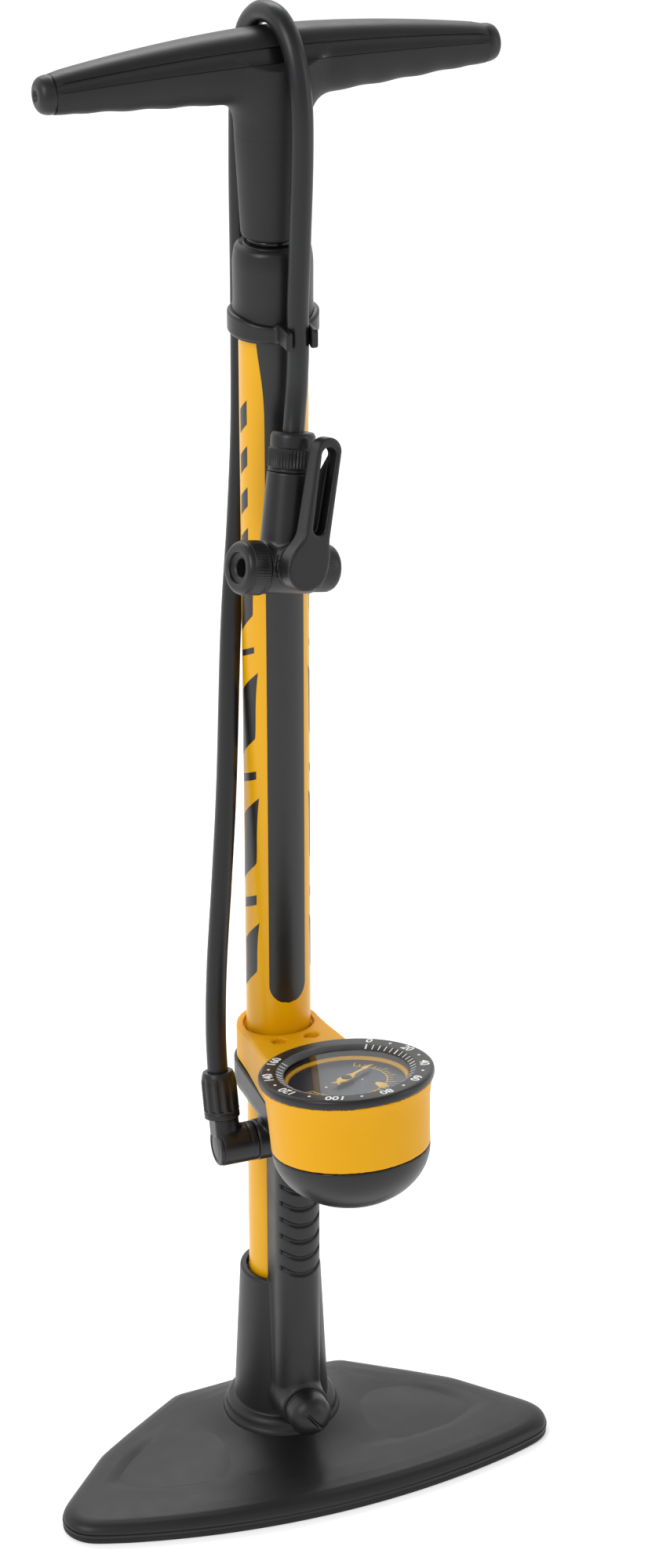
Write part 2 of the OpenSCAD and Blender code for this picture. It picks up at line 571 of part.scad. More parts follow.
module lever() color(black) at_lever() difference() {
  linear_extrude(height = 8.4) lever_plan();
  translate([0, 0, -1]) cylinder(r = 2.06, h = 7.6);
  // long recess in the face, open at the back near the tip
  hull() {
    translate([arm_mid + 0.2, 17.6, 2.6]) cylinder(r = 3.3, h = 20, $fn = 32);
    translate([arm_mid, lever_len - 7.8, 2.6]) cylinder(r = 3.8, h = 20, $fn = 32);
  }
  hull() {
    translate([arm_mid - 1.6, 38, -1]) cylinder(r = 0.8, h = 20, $fn = 16);
    translate([arm_mid, lever_len - 7.8, -1]) cylinder(r = 3.5, h = 20, $fn = 32);
  }
  // the arm thins toward its tip
  translate([-30, 11, 0]) rotate([2.4, 0, 0]) translate([0, 0, -20]) cube([60, 80, 20]);
}
module lever_pin() color(steel) at_lever() translate([0, 0, -10])
  cylinder(r = 1.98, h = 16.3);

base_plate();
base_pad();
base_screws();
foot_housing();
barrel();
lower_plug();
plug_o_ring();
valve_cap();
valve_cap_ring();
valve_ball();
valve_spring();
housing_lower();
housing_upper();
bracket_screws();
bezel();
lens();
dial_ring();
dial();
needle();
sector_gear();
movement_frame();
bourdon_tube();
swivel_elbow();
elbow_cap();
hose_nut();
hose();
top_cap();
hose_clip();
rod_bush();
rod_bumper();
piston_rod();
piston();
piston_ring();
piston_bolt();
handle_core();
handle_grip_left();
handle_grip_right();
handle_cap_left();
handle_cap_right();
handle_bolt();
head_collar();
head_body();
nozzle_cap_left();
nozzle_cap_right();
nozzle_seal_left();
nozzle_seal_right();
lever();
lever_pin();
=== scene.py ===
import math

import bpy
import numpy as np
from mathutils import Matrix, Vector


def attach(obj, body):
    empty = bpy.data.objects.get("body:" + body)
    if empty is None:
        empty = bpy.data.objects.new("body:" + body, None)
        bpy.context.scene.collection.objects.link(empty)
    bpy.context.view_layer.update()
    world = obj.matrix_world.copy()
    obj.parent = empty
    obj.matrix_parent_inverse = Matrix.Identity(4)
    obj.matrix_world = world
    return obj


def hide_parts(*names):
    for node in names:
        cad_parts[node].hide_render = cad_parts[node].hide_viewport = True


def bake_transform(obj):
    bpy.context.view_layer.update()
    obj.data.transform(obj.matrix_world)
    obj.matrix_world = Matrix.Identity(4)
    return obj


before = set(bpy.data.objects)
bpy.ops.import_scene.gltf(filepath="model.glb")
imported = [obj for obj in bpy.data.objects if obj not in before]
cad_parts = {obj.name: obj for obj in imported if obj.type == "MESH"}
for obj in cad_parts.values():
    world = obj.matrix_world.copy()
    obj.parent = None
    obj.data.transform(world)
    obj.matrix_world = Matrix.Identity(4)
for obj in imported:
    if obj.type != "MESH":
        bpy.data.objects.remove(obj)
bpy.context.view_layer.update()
MM = 0.001


# ---- camera ------------------------------------------------------------------
CAM_TURN, CAM_PITCH, CAM_LENS = math.radians(20.6), math.radians(26.2), 86.4
CAM_BACK, CAM_UP, CAM_SIDE = 1.5307, 1.110, 0.0264

forward = Vector((math.sin(CAM_TURN), math.cos(CAM_TURN), 0))
right = Vector((math.cos(CAM_TURN), -math.sin(CAM_TURN), 0))
camera = bpy.data.objects.new("camera", bpy.data.cameras.new("camera"))
camera.data.lens = CAM_LENS
camera.location = CAM_SIDE * right - CAM_BACK * forward + Vector((0, 0, CAM_UP))
camera.rotation_euler = (math.pi / 2 - CAM_PITCH, 0, -CAM_TURN)
bpy.context.scene.collection.objects.link(camera)
bpy.context.scene.camera = camera


# ---- node helpers --------------------------------------------------------------
def connect(tree, source, target):
    tree.links.new(source, target)


def shader(name):
    """A new material, its node tree and its principled node."""
    mat = bpy.data.materials.new(name)
    mat.use_nodes = True
    tree = mat.node_tree
    return mat, tree, tree.nodes["Principled BSDF"]


def noise(tree, scale, detail=3.0, stretch=(1, 1, 1)):
    """A noise texture in the piece's own metres."""
    coord = tree.nodes.new("ShaderNodeTexCoord")
    place = tree.nodes.new("ShaderNodeMapping")
    place.inputs["Scale"].default_value = stretch
    tex = tree.nodes.new("ShaderNodeTexNoise")
    tex.inputs["Scale"].default_value = scale
    tex.inputs["Detail"].default_value = detail
    connect(tree, coord.outputs["Object"], place.inputs["Vector"])
    connect(tree, place.outputs["Vector"], tex.inputs["Vector"])
    return tex.outputs["Fac"]


def span(tree, value, lo, hi):
    """Maps a 0 to 1 value onto lo to hi."""
    node = tree.nodes.new("ShaderNodeMapRange")
    node.inputs["To Min"].default_value = lo
    node.inputs["To Max"].default_value = hi
    connect(tree, value, node.inputs["Value"])
    return node.outputs["Result"]


def blend_colour(tree, factor, low, high):
    node = tree.nodes.new("ShaderNodeMix")
    node.data_type = "RGBA"
    node.inputs["A"].default_value = (*low, 1)
    node.inputs["B"].default_value = (*high, 1)
    connect(tree, factor, node.inputs["Factor"])
    return node.outputs["Result"]


def bump(tree, bsdf, height, strength, distance):
    node = tree.nodes.new("ShaderNodeBump")
    node.inputs["Strength"].default_value = strength
    node.inputs["Distance"].default_value = distance
    connect(tree, height, node.inputs["Height"])
    connect(tree, node.outputs["Normal"], bsdf.inputs["Normal"])


def moulded(name, dark, light, rough, grain=1400, depth=0.25, spec=0.5, coat=0.0):
    """Moulded plastic, rubber or enamel: cloudy colour, uneven roughness and a fine grain."""
    mat, tree, bsdf = shader(name)
    cloud = span(tree, noise(tree, 28, 4), 0.1, 0.75)
    connect(tree, blend_colour(tree, cloud, dark, light), bsdf.inputs["Base Color"])
    connect(tree, span(tree, noise(tree, 90, 5), rough - 0.06, rough + 0.06),
            bsdf.inputs["Roughness"])
    bsdf.inputs["Specular IOR Level"].default_value = spec
    bsdf.inputs["Coat Weight"].default_value = coat
    bsdf.inputs["Coat Roughness"].default_value = 0.12
    bump(tree, bsdf, noise(tree, grain, 2), depth, 0.0001)
    return mat


def metal(name, dark, light, rough, stretch=(1, 1, 1)):
    """Bare or plated metal with a fine drawn or turned grain."""
    mat, tree, bsdf = shader(name)
    grain = noise(tree, 600, 4, stretch)
    connect(tree, blend_colour(tree, grain, dark, light), bsdf.inputs["Base Color"])
    connect(tree, span(tree, grain, rough - 0.05, rough + 0.08), bsdf.inputs["Roughness"])
    bsdf.inputs["Metallic"].default_value = 1.0
    bump(tree, bsdf, grain, 0.15, 0.00005)
    return mat


def paint(name, colour, rough=0.5):
    """A thin print or inked mark, with a slightly uneven coat."""
    mat, tree, bsdf = shader(name)
    low = tuple(c * 0.85 for c in colour)
    connect(tree, blend_colour(tree, noise(tree, 260, 3), low, colour),
            bsdf.inputs["Base Color"])
    connect(tree, span(tree, noise(tree, 120, 3), rough - 0.05, rough + 0.08),
            bsdf.inputs["Roughness"])
    return mat


def clear(name):
    """Clear lens: see-through with mirror-like reflections at grazing angles."""
    mat, tree, bsdf = shader(name)
    tree.nodes.remove(bsdf)
    mix = tree.nodes.new("ShaderNodeMixShader")
    fresnel = tree.nodes.new("ShaderNodeFresnel")
    fresnel.inputs["IOR"].default_value = 1.42
    through = tree.nodes.new("ShaderNodeBsdfTransparent")
    through.inputs["Color"].default_value = (0.97, 0.98, 1.0, 1)
    gloss = tree.nodes.new("ShaderNodeBsdfGlossy")
    back = tree.nodes.new("ShaderNodeNewGeometry").outputs["Backfacing"]
    facing = tree.nodes.new("ShaderNodeMath")
    facing.operation = "MULTIPLY"
    connect(tree, span(tree, back, 1, 0), facing.inputs[0])
    connect(tree, fresnel.outputs["Fac"], facing.inputs[1])
    connect(tree, span(tree, noise(tree, 40, 2), 0.01, 0.05), gloss.inputs["Roughness"])
    connect(tree, facing.outputs[0], mix.inputs["Fac"])
    connect(tree, through.outputs["BSDF"], mix.inputs[1])
    connect(tree, gloss.outputs["BSDF"], mix.inputs[2])
    out = tree.nodes["Material Output"]
    connect(tree, mix.outputs["Shader"], out.inputs["Surface"])
    return mat


BLACK = moulded("black_plastic", (0.004, 0.004, 0.0045), (0.010, 0.010, 0.0105), 0.36, spec=0.4)
SATIN = moulded("satin_black", (0.005, 0.005, 0.0055), (0.011, 0.011, 0.0115), 0.42, depth=0.3,
                spec=0.4)
GLOSS = moulded("gloss_black", (0.003, 0.003, 0.003), (0.006, 0.006, 0.006), 0.22, depth=0.06,
                spec=0.45)
SOFT = moulded("soft_grip", (0.007, 0.007, 0.007), (0.014, 0.014, 0.0145), 0.52, 900, 0.35, 0.35)
RUBBER = moulded("rubber", (0.006, 0.006, 0.006), (0.012, 0.012, 0.012), 0.6, 800, 0.4, 0.3)
HOSE = moulded("hose_rubber", (0.005, 0.0052, 0.006), (0.010, 0.0105, 0.012), 0.36, 700, 0.2,
               0.4)
ENAMEL = moulded("yellow_enamel", (0.68, 0.33, 0.0), (0.74, 0.38, 0.001), 0.32, 1500, 0.08,
                 0.25, 0.08)
AMBER = moulded("yellow_plastic", (0.66, 0.31, 0.0), (0.74, 0.37, 0.001), 0.44, 1500, 0.18,
                0.2)
ROD = metal("rod_steel", (0.55, 0.56, 0.58), (0.7, 0.71, 0.73), 0.2, (1, 1, 0.05))
STEEL = metal("screw_steel", (0.42, 0.42, 0.44), (0.6, 0.6, 0.62), 0.35)
BRASS = metal("brass", (0.62, 0.42, 0.14), (0.8, 0.58, 0.24), 0.3)
DIAL = moulded("dial_plate", (0.006, 0.008, 0.014), (0.012, 0.016, 0.026), 0.3, 1200, 0.05)
CLEAR = clear("clear_lens")
PRINT_BLACK = paint("print_black", (0.008, 0.008, 0.008), 0.36)
PRINT_WHITE = paint("print_white", (0.82, 0.82, 0.80), 0.5)
PRINT_GOLD = paint("print_gold", (0.86, 0.50, 0.04), 0.4)


# ---- shape helpers, all in millimetres -------------------------------------------
def matrix(place=(0, 0, 0), turns=()):
    m = Matrix.Translation(place)
    for axis, degrees in turns:
        m = m @ Matrix.Rotation(math.radians(degrees), 4, axis)
    return m


GAUGE = matrix((1.5, -85, 254), [("X", -10)])
ELBOW = matrix((-38, -32, 192), [("X", -15)])
HANDLE = matrix((0, 0, 0), [("Z", 3.5)])
HEAD = matrix((-1.25, -28.3, 537.4), [("Y", 9.9), ("X", -14), ("Z", 11)])
PIVOT_X, PIVOT_Z, CROSS_Z = -2.5, -55.9, -58.5
LEVER = HEAD @ matrix((PIVOT_X, -14.5, PIVOT_Z), [("Y", 4.5), ("X", 90)])


def add(name, verts, faces, body, mats, at=None, slot=None, replaces=(), sharp=38,
        index=None):
    """A smooth-shaded mesh piece that rides on a body. Vertices are in millimetres."""
    mesh = bpy.data.meshes.new(name)
    mesh.from_pydata([tuple(v) for v in np.asarray(verts, float)], [],
                     [tuple(int(i) for i in f) for f in faces])
    mesh.transform(Matrix.Scale(MM, 4) @ (at or Matrix.Identity(4)))
    mesh.validate()
    mesh.shade_smooth()
    if sharp:
        mesh.set_sharp_from_angle(angle=math.radians(sharp))
    for m in mats if isinstance(mats, (list, tuple)) else [mats]:
        mesh.materials.append(m)
    if index is not None:
        mesh.polygons.foreach_set("material_index", np.asarray(index, np.int32))
    obj = bpy.data.objects.new(name, mesh)
    bpy.context.scene.collection.objects.link(obj)
    if body:
        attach(obj, body)
    if replaces:
        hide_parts(*replaces)
    return obj


def skin(rings, loop=False):
    """Vertices and faces through equal rings; loop joins the last ring to the first."""
    rings = np.asarray(rings, float)
    m, n = rings.shape[:2]
    j, i = np.meshgrid(np.arange(m if loop else m - 1), np.arange(n), indexing="ij")
    j, i = j.ravel(), i.ravel()
    k, up = (i + 1) % n, (j + 1) % m
    faces = np.stack([j * n + i, j * n + k, up * n + k, up * n + i], 1).tolist()
    if not loop:
        faces += [list(range(n))[::-1], list(range((m - 1) * n, m * n))]
    return rings.reshape(-1, 3), faces


def rounded(points, radii, steps=4):
    """An open line with its inner corners rounded."""
    pts = [np.array(p, float) for p in points]
    if not isinstance(radii, (list, tuple)):
        radii = [radii] * (len(pts) - 2)
    out = [pts[0]]
    for a, b, c, r in zip(pts, pts[1:], pts[2:], radii):
        u, v = a - b, c - b
        lu, lv = np.linalg.norm(u), np.linalg.norm(v)
        r = min(r, lu * 0.49, lv * 0.49)
        p, q = b + u / lu * r, b + v / lv * r
        for t in np.linspace(0, 1, steps + 1):
            out.append((1 - t) ** 2 * p + 2 * t * (1 - t) * b + t * t * q)
    return out + [pts[-1]]


def lathe(name, profile, body, mats, at=None, n=96, wave=None, loop=False, **more):
    """A turned piece from (radius, height) points. wave(angle, row) scales the radius."""
    turn = np.linspace(0, 2 * math.pi, n, endpoint=False)
    rings = []
    for row, (r, z) in enumerate(profile):
        rr = max(r, 1e-3) * (wave(turn, row, z) if wave else 1.0)
        rings.append(np.stack([rr * np.cos(turn), rr * np.sin(turn), np.full(n, z)], 1))
    if not loop and profile[0][1] > profile[-1][1]:
        rings = rings[::-1]
    verts, faces = skin(rings, loop)
    return add(name, verts, faces, body, mats, at, **more)


def ribs(count, depth, lo, hi, power=0.5):
    """Straight ribs between two heights, for lathe()."""
    def wave(turn, row, z):
        if not lo <= z <= hi:
            return np.ones_like(turn)
        c = np.cos(turn * count)
        return 1 - depth * (0.5 - 0.5 * np.sign(c) * np.abs(c) ** power)
    return wave


def surface(field, lo, hi, step):
    """Vertices and quads where field(x, y, z) crosses zero; negative is inside."""
    lo = np.array(lo, float)
    axes = [np.arange(a, b + step, step) for a, b in zip(lo, hi)]
    values = field(*np.meshgrid(*axes, indexing="ij")).astype(np.float32)
    inside = values < 0
    cells = tuple(n - 1 for n in values.shape)
    total = np.zeros(cells + (3,), np.float32)
    count = np.zeros(cells, np.int8)
    crossings = []
    for axis in range(3):
        first, second = [slice(None)] * 3, [slice(None)] * 3
        first[axis], second[axis] = slice(None, -1), slice(1, None)
        first, second = tuple(first), tuple(second)
        cross = inside[first] != inside[second]
        gap = np.where(cross, values[first] - values[second], 1)
        t = np.where(cross, values[first] / gap, 0)
        crossings.append((cross, inside[first]))
        u, v = (axis + 1) % 3, (axis + 2) % 3
        for du in (0, 1):
            for dv in (0, 1):
                pick = [slice(None)] * 3
                pick[u] = slice(du, du + cells[u])
                pick[v] = slice(dv, dv + cells[v])
                pick = tuple(pick)
                count += cross[pick]
                total[..., axis] += t[pick]
                total[..., u] += cross[pick] * du
                total[..., v] += cross[pick] * dv
    used = count > 0
    index = np.full(cells, -1)
    index[used] = np.arange(int(used.sum()))
    verts = lo + step * (np.argwhere(used) + total[used] / count[used][:, None])
    quads = []
    for axis in range(3):
        cross, start = crossings[axis]
        u, v = (axis + 1) % 3, (axis + 2) % 3
        edge = np.argwhere(cross)
        ok = ((edge[:, u] > 0) & (edge[:, u] < cells[u])
              & (edge[:, v] > 0) & (edge[:, v] < cells[v]))
        edge = edge[ok]
        out = start[tuple(edge.T)]
        corner = []
        for du, dv in ((-1, -1), (0, -1), (0, 0), (-1, 0)):
            c = edge.copy()
            c[:, u] += du
            c[:, v] += dv
            corner.append(index[tuple(c.T)])
        quad = np.stack(corner, 1)
        quad[~out] = quad[~out][:, ::-1]
        quads.append(quad)
    h = step * 0.05
    for _ in range(3):
        x, y, z = verts.T
        f = field(x, y, z)
        g = np.stack([field(x + h, y, z) - f, field(x, y + h, z) - f,
                      field(x, y, z + h) - f], 1) / h
        move = g * (f / np.maximum((g * g).sum(1), 0.05))[:, None]
        size = np.linalg.norm(move, axis=1, keepdims=True)
        verts = verts - move * np.minimum(1, 0.4 * step / np.maximum(size, 1e-9))
    return verts, np.concatenate(quads)


def solid(name, field, lo, hi, step, body, mats, at=None, **more):
    verts, faces = surface(field, lo, hi, step * (1))
    return add(name, verts, faces, body, mats, at, **more)


def join(a, b, k):
    """Union of two fields with a fillet about k wide."""
    h = np.clip(0.5 + 0.5 * (b - a) / k, 0, 1)
    return b + (a - b) * h - k * h * (1 - h)


def carve(a, b, k=0.4):
    """Field a with field b cut out of it, its edge rounded."""
    return -join(-a, b, k)


def both(a, b, k=0.4):
    """What is inside both fields, its edge rounded."""
    return -join(-a, -b, k)


def ease(a, b, v):
    """A smooth step from 0 at a to 1 at b."""
    t = np.clip((v - a) / (b - a), 0, 1)
    return t * t * (3 - 2 * t)


def local(at, x, y, z):
    """Points of the shared frame in a local frame."""
    m = np.array(at.inverted())
    return [m[i, 0] * x + m[i, 1] * y + m[i, 2] * z + m[i, 3] for i in range(3)]


# ---- hose, the one free cord -----------------------------------------------------
HOSE_D = 9.4
HOSE_ROUTE = [
    (-38, -25.8, 215.2), (-38, -23, 226), (-37, -18, 246), (-34, -12, 276),
    (-29, -6, 316), (-24, 0, 362), (-18, 9, 432), (-12, 16, 480), (-8, 21, 520),
    (-6, 25, 560), (-5.5, 26, 600), (-5.5, 26, 640), (-5, 25, 676), (-4.5, 19, 698),
    (-3, 10, 708.2), (-1, 0, 711.4), (1, -10, 709), (3, -19.5, 698.5), (4, -25, 680),
    (4, -26, 656), (3, -25.6, 620), (2, -25.2, 590), (2, -25.4, 572), (1.5, -25, 556.5),
    (0.09, -26.36, 545.05), (-1.25, -28.3, 537.4), (-1.75, -29.03, 534.53)]


def smooth_line(route, steps):
    """Catmull-Rom points through a route."""
    p = np.array([route[0], *route, route[-1]], float)
    out = []
    for a, b, c, d in zip(p, p[1:], p[2:], p[3:]):
        for t in np.arange(steps) / steps:
            out.append(0.5 * (2 * b + (c - a) * t + (2 * a - 5 * b + 4 * c - d) * t * t
                              + (3 * b - a - 3 * c + d) * t ** 3))
    return np.array(out + [p[-1]])


def tube(line, radius, sides=28):
    """Rings round a line that doesn't twist."""
    way = np.gradient(line, axis=0)
    way /= np.linalg.norm(way, axis=1, keepdims=True)
    across = np.cross(way, [1, 0.15, 0])
    across /= np.linalg.norm(across, axis=1, keepdims=True)
    side = np.cross(way, across)
    turn = np.linspace(0, 2 * math.pi, sides, endpoint=False)[None, :, None]
    return line[:, None] + radius * (np.cos(turn) * across[:, None]
                                     + np.sin(turn) * side[:, None])


hose_line = smooth_line(HOSE_ROUTE, 12)
verts, faces = skin(tube(hose_line, HOSE_D / 2))
hose = add("hose_tube", verts, faces, None, HOSE, slot="hose_rubber", replaces=["hose"])
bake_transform(hose)


# ---- foot plate --------------------------------------------------------------------
FOOT_R = 27.3


def arc(cx, cy, r, a0, a1, n):
    return [(cx + r * math.cos(math.radians(a)), cy + r * math.sin(math.radians(a)))
            for a in np.linspace(a0, a1, n + 1)]


half = np.array(arc(0, 303, 375, -90, -74.5, 14) + arc(108, -39, 16, -72, 48, 16)
                + [(92.5, 2.5), (75.5, 15), (58, 27)] + arc(40, 23.5, 13, 50, 88, 6)
                + [(18, 36.5)])
outline = np.concatenate([half, (half * (-1, 1))[:0:-1]])
closed = np.concatenate([outline, outline[:1]])
closed = np.concatenate([np.linspace(a, b, 24)[:-1] for a, b in zip(closed, closed[1:])])
closed = np.concatenate([closed, closed[:1]])
RAYS = 360
ray = np.linspace(-math.pi, math.pi, RAYS, endpoint=False)
bearing = np.unwrap(np.arctan2(closed[:, 1], closed[:, 0]))
reach = np.interp(ray, bearing, np.hypot(*closed.T), period=2 * math.pi)
for _ in range(2):
    reach = (np.roll(reach, 1) + 2 * reach + np.roll(reach, -1)) / 4
rim = np.stack([reach * np.cos(ray), reach * np.sin(ray)], 1)
EDGE_Z, TREAD_DEPTH = 5.6, 3.0
EDGE_D = [0, 0.5, 1.6, 3.2, 6, 11, 18, 300]
EDGE_F = [0, 0.24, 0.46, 0.64, 0.8, 0.91, 0.98, 1]
HUB_R = [27.3, 33, 40, 50, 64, 84, 110, 130]
HUB_Z = [18, 16.2, 14.5, 13.0, 12.0, 11.3, 10.9, 10.8]
CONE_R = np.arange(20, 160, 0.5)
soft = np.exp(-np.linspace(-2.5, 2.5, 31) ** 2 / 2)
CONE_Z = np.interp(CONE_R, HUB_R, HUB_Z, left=18.5)
CONE_Z = np.convolve(np.pad(CONE_Z, 15, mode="edge"), soft / soft.sum(), mode="valid")
# crest of the tread's outer slope, on the right wing
CREST = [(0, -47), (30, -46), (50, -44.8), (75.4, -41.3), (91.4, -34.6), (99.5, -29),
         (101.5, -24), (96, -13), (85, -2), (72, 8), (52, 19), (30, 26), (0, 27)]
CREST = CREST + [(-x, y) for x, y in CREST[-2:0:-1]]
crest = np.array(CREST + CREST[:1], float)
crest = np.concatenate([np.linspace(a, b, 16)[:-1] for a, b in zip(crest, crest[1:])])
crest = (np.roll(crest, 3, 0) + np.roll(crest, -3, 0) + crest) / 3


def edge_distance(x, y, line):
    """Distance from a closed line."""
    best = np.full(np.shape(x), 1e9)
    for (ax, ay), (bx, by) in zip(line, [*line[1:], line[0]]):
        ux, uy = bx - ax, by - ay
        t = np.clip(((x - ax) * ux + (y - ay) * uy) / (ux * ux + uy * uy), 0, 1)
        best = np.minimum(best, np.hypot(x - ax - t * ux, y - ay - t * uy))
    return best


def plate_height(x, y):
    """Height of the plate's top, with the dished tread on each wing."""
    f = np.interp(edge_distance(x, y, rim), EDGE_D, EDGE_F)
    z = EDGE_Z + f * (np.interp(np.hypot(x, y), CONE_R, CONE_Z) - EDGE_Z)
    turn = np.arctan2(crest[:, 1] + 8, crest[:, 0])
    order = np.argsort(turn)
    limit = np.interp(np.arctan2(y + 8, x), turn[order],
                      np.hypot(crest[:, 0], crest[:, 1] + 8)[order], period=2 * math.pi)
    inside = edge_distance(x, y, crest) * np.sign(limit - np.hypot(x, y + 8))
    ax = np.abs(x)
    width = 6 + 9 * np.exp(-((ax - 96) / 34) ** 2)
    fade = ease(10, 88, ax) * (1 - 0.7 * ease(-12, 14, y))
    return z - TREAD_DEPTH * fade * ease(0, 1, inside / width)


def plate_ring(share, z=None):
    """A ring some share of the way from the rim to the hub, on the plate's top if z is None."""
    r = reach * (1 - share) + FOOT_R * share
    x, y = r * np.cos(ray), r * np.sin(ray)
    return np.stack([x, y, plate_height(x, y) if z is None else np.full(RAYS, z)], 1)


RIM_SIDE = [(-0.004, 3.3), (-0.0045, 3.9), (-0.004, 4.5), (0.004, 4.8), (0.004, 5.0), (0.0, 5.3)]
TOP_SHARES = [*np.linspace(0, 0.03, 6), *np.linspace(0.04, 1, 80)]
UNDERSIDE = [(1, 14.8), (0.7, 12.2), (0.4, 10), (0.2, 8), (0.1, 6), (0.05, 3.3)]
PAD = [(0.004, 0.0), (-0.002, 0.6), (-0.003, 2.6), (0.003, 3.3), (0.1, 3.3), (0.1, 0.0)]
plate = ([plate_ring(s, z) for s, z in RIM_SIDE] + [plate_ring(s) for s in TOP_SHARES]
         + [plate_ring(s, z) for s, z in UNDERSIDE])
verts, faces = skin(plate, loop=True)
add("foot_plate", verts, faces, "frame", SATIN, slot="black_plastic",
    replaces=["base_plate"], sharp=50)
verts, faces = skin([plate_ring(s, z) for s, z in PAD], loop=True)
add("foot_rim", verts, faces, "frame", RUBBER, slot="rubber", replaces=["base_pad"])


# ---- socket, spine and check valve cap -----------------------------------------------
SLEEVE_Z = [17.0, 18.6, 19.6, 21.0, 22.6, 23.8, 24.6, 25.0, 25.4, 26.2, 98.6]
SLEEVE_R = [28.6, 28.2, 27.4, 26.9, 26.6, 25.8, 24.6, 23.5, 22.9, 22.8, 19.4]
GROOVES = [113 + 9.1 * i for i in range(7)]


def spine_plan(x, y, r=11.0):
    """Distance to the spine's outline, seen from above."""
    q = np.clip(-y, 4, 23)
    return np.hypot(x, y + q) - r


def socket_field(x, y, z):
    r = np.hypot(x, y)
    d = (r - np.interp(z, SLEEVE_Z, SLEEVE_R)) * 0.96
    d = both(d, np.maximum(14 - z, z - 100), 1.6)
    side = spine_plan(x, y)
    duct = both(side, np.maximum(30 - z, z - 182), 0.6)
    d = join(d, duct, 1.2)
    for g in GROOVES:
        line = z - g - 2.6 * (x / 9.5) ** 2
        cut = np.sqrt(line ** 2 + (side * 0.9) ** 2) - 1.15
        cut = np.maximum(cut, np.maximum(np.abs(x) - 9.3, y + 18))
        d = carve(d, cut, 0.5)
    boss = both(np.hypot(x, z - 37) - 11.6, np.maximum(y + 12, -34 - y), 0.8)
    d = join(d, boss, 2.5)
    seat = np.maximum(r - np.where(z > 96, 16.3, 15.1), 60 - z)
    d = carve(d, np.maximum(r - 15.1, 60 - z), 0.1)
    return carve(d, seat, 0.4)


solid("socket", socket_field, (-31, -37, 13), (31, 31, 184), 0.7, "frame", SATIN,
      slot="black_plastic", replaces=["foot_housing"], sharp=55)


KNOB = matrix((0, -34, 37), [("X", 90)])


def knob_field(x, y, z):
    """A domed cap with one slanting coin slot."""
    r = np.hypot(x, y)
    dome = (np.hypot(r / 10.5, np.maximum(z - 6.5, 0) / 8.3) - 1) * 8.6
    d = both(dome, np.maximum(0.1 - z, r - 10.5), 0.5)
    across = (x * 0.80 + y * 0.60)
    along = np.abs(x * 0.60 - y * 0.80)
    slot = np.maximum(np.abs(across) - 0.7, np.maximum(along - 6.4, 12.6 - z))
    ring = np.hypot(r - 10.6, z - 1.6) - 0.45
    return carve(carve(d, slot, 1.0), ring, 0.4)


solid("valve_knob", knob_field, (-12, -12, -1), (12, 12, 16), 0.5, "frame", SATIN, KNOB,
      slot="black_plastic", replaces=["valve_cap"], sharp=60)


# ---- barrel with its stripe and graphic ---------------------------------------------
BARREL_R = 15.0
lathe("barrel_tube", [(13.5, 48), (15, 48), (15, 602), (13.5, 602)], "frame", ENAMEL,
      n=128, loop=True, slot="yellow_enamel", replaces=["barrel"])


def decal(name, rows, mat, columns=18, lift=0.06, body="frame"):
    """A thin print on the barrel. rows are (height, left, right), the last two being
    distances round the barrel from its front, to the right positive."""
    verts, faces = [], []
    for z, left, right_ in rows:
        for s in np.linspace(left, right_, columns):
            a = s / BARREL_R
            for r in (BARREL_R + lift, BARREL_R - 0.05):
                verts.append((r * math.sin(a), -r * math.cos(a), z))
    w = columns * 2
    for j in range(len(rows) - 1):
        for i in range(columns - 1):
            a = j * w + i * 2
            faces.append((a, a + 2, a + w + 2, a + w))
    return add(name, verts, faces, body, mat, sharp=0)


STRIPE_HALF, STRIPE_FOOT = 9.3, 251.0
stripe = []
for z in np.concatenate([np.linspace(STRIPE_FOOT, 262, 16), np.linspace(264, 520, 40),
                         np.linspace(523, 574, 26)]):
    drop = max(STRIPE_FOOT + STRIPE_HALF - z, 0.0)
    half_w = math.sqrt(max(STRIPE_HALF ** 2 - drop ** 2, 0.0))
    stripe.append((z, -half_w - 3.8 * ease(528, 578, z) ** 2, half_w))
decal("barrel_stripe", stripe, PRINT_BLACK)


def sweep(z0, z1, left, width, slant, bend=0.0):
    """A bold slanting bar with raked ends."""
    rows = []
    for z in np.linspace(z0, z1, 30):
        t = (z - z0) / (z1 - z0)
        shift = bend * (t - 0.5) * abs(t - 0.5) * 4
        low = min(1.0, (z - z0) / slant)
        high = max(0.0, 1 - (z1 - z) / slant)
        rows.append((z, left + shift + width * high, left + shift + width * max(low, 0.02)))
    return rows


marks = [(254, 292, -25.0, 9.5, 12, 1.5), (296, 306, -25.0, 9.5, 5, 0),
         (310, 356, -25.5, 10.5, 12, 1.5), (360, 369, -25.5, 10.5, 5, 0),
         (373, 418, -25.5, 10.5, 12, 1.5), (422, 430, -25.5, 10, 5, 0),
         (434, 462, -25.0, 9, 11, 1.0), (472, 486, -24.5, 6, 6, 0), (490, 505, -24.5, 6, 6, 0),
         (509, 524, -24.5, 6, 6, 0), (528, 545, -24.5, 6, 6, 0)]
for i, (z0, z1, left, width, slant, bend) in enumerate(marks):
    rows_left = sweep(z0, z1, left, width, slant, bend)
    decal(f"barrel_mark_{i}", rows_left, PRINT_BLACK, 10)
    decal(f"barrel_mark_right_{i}", [(z, -b, -a) for z, a, b in rows_left], PRINT_BLACK, 10)


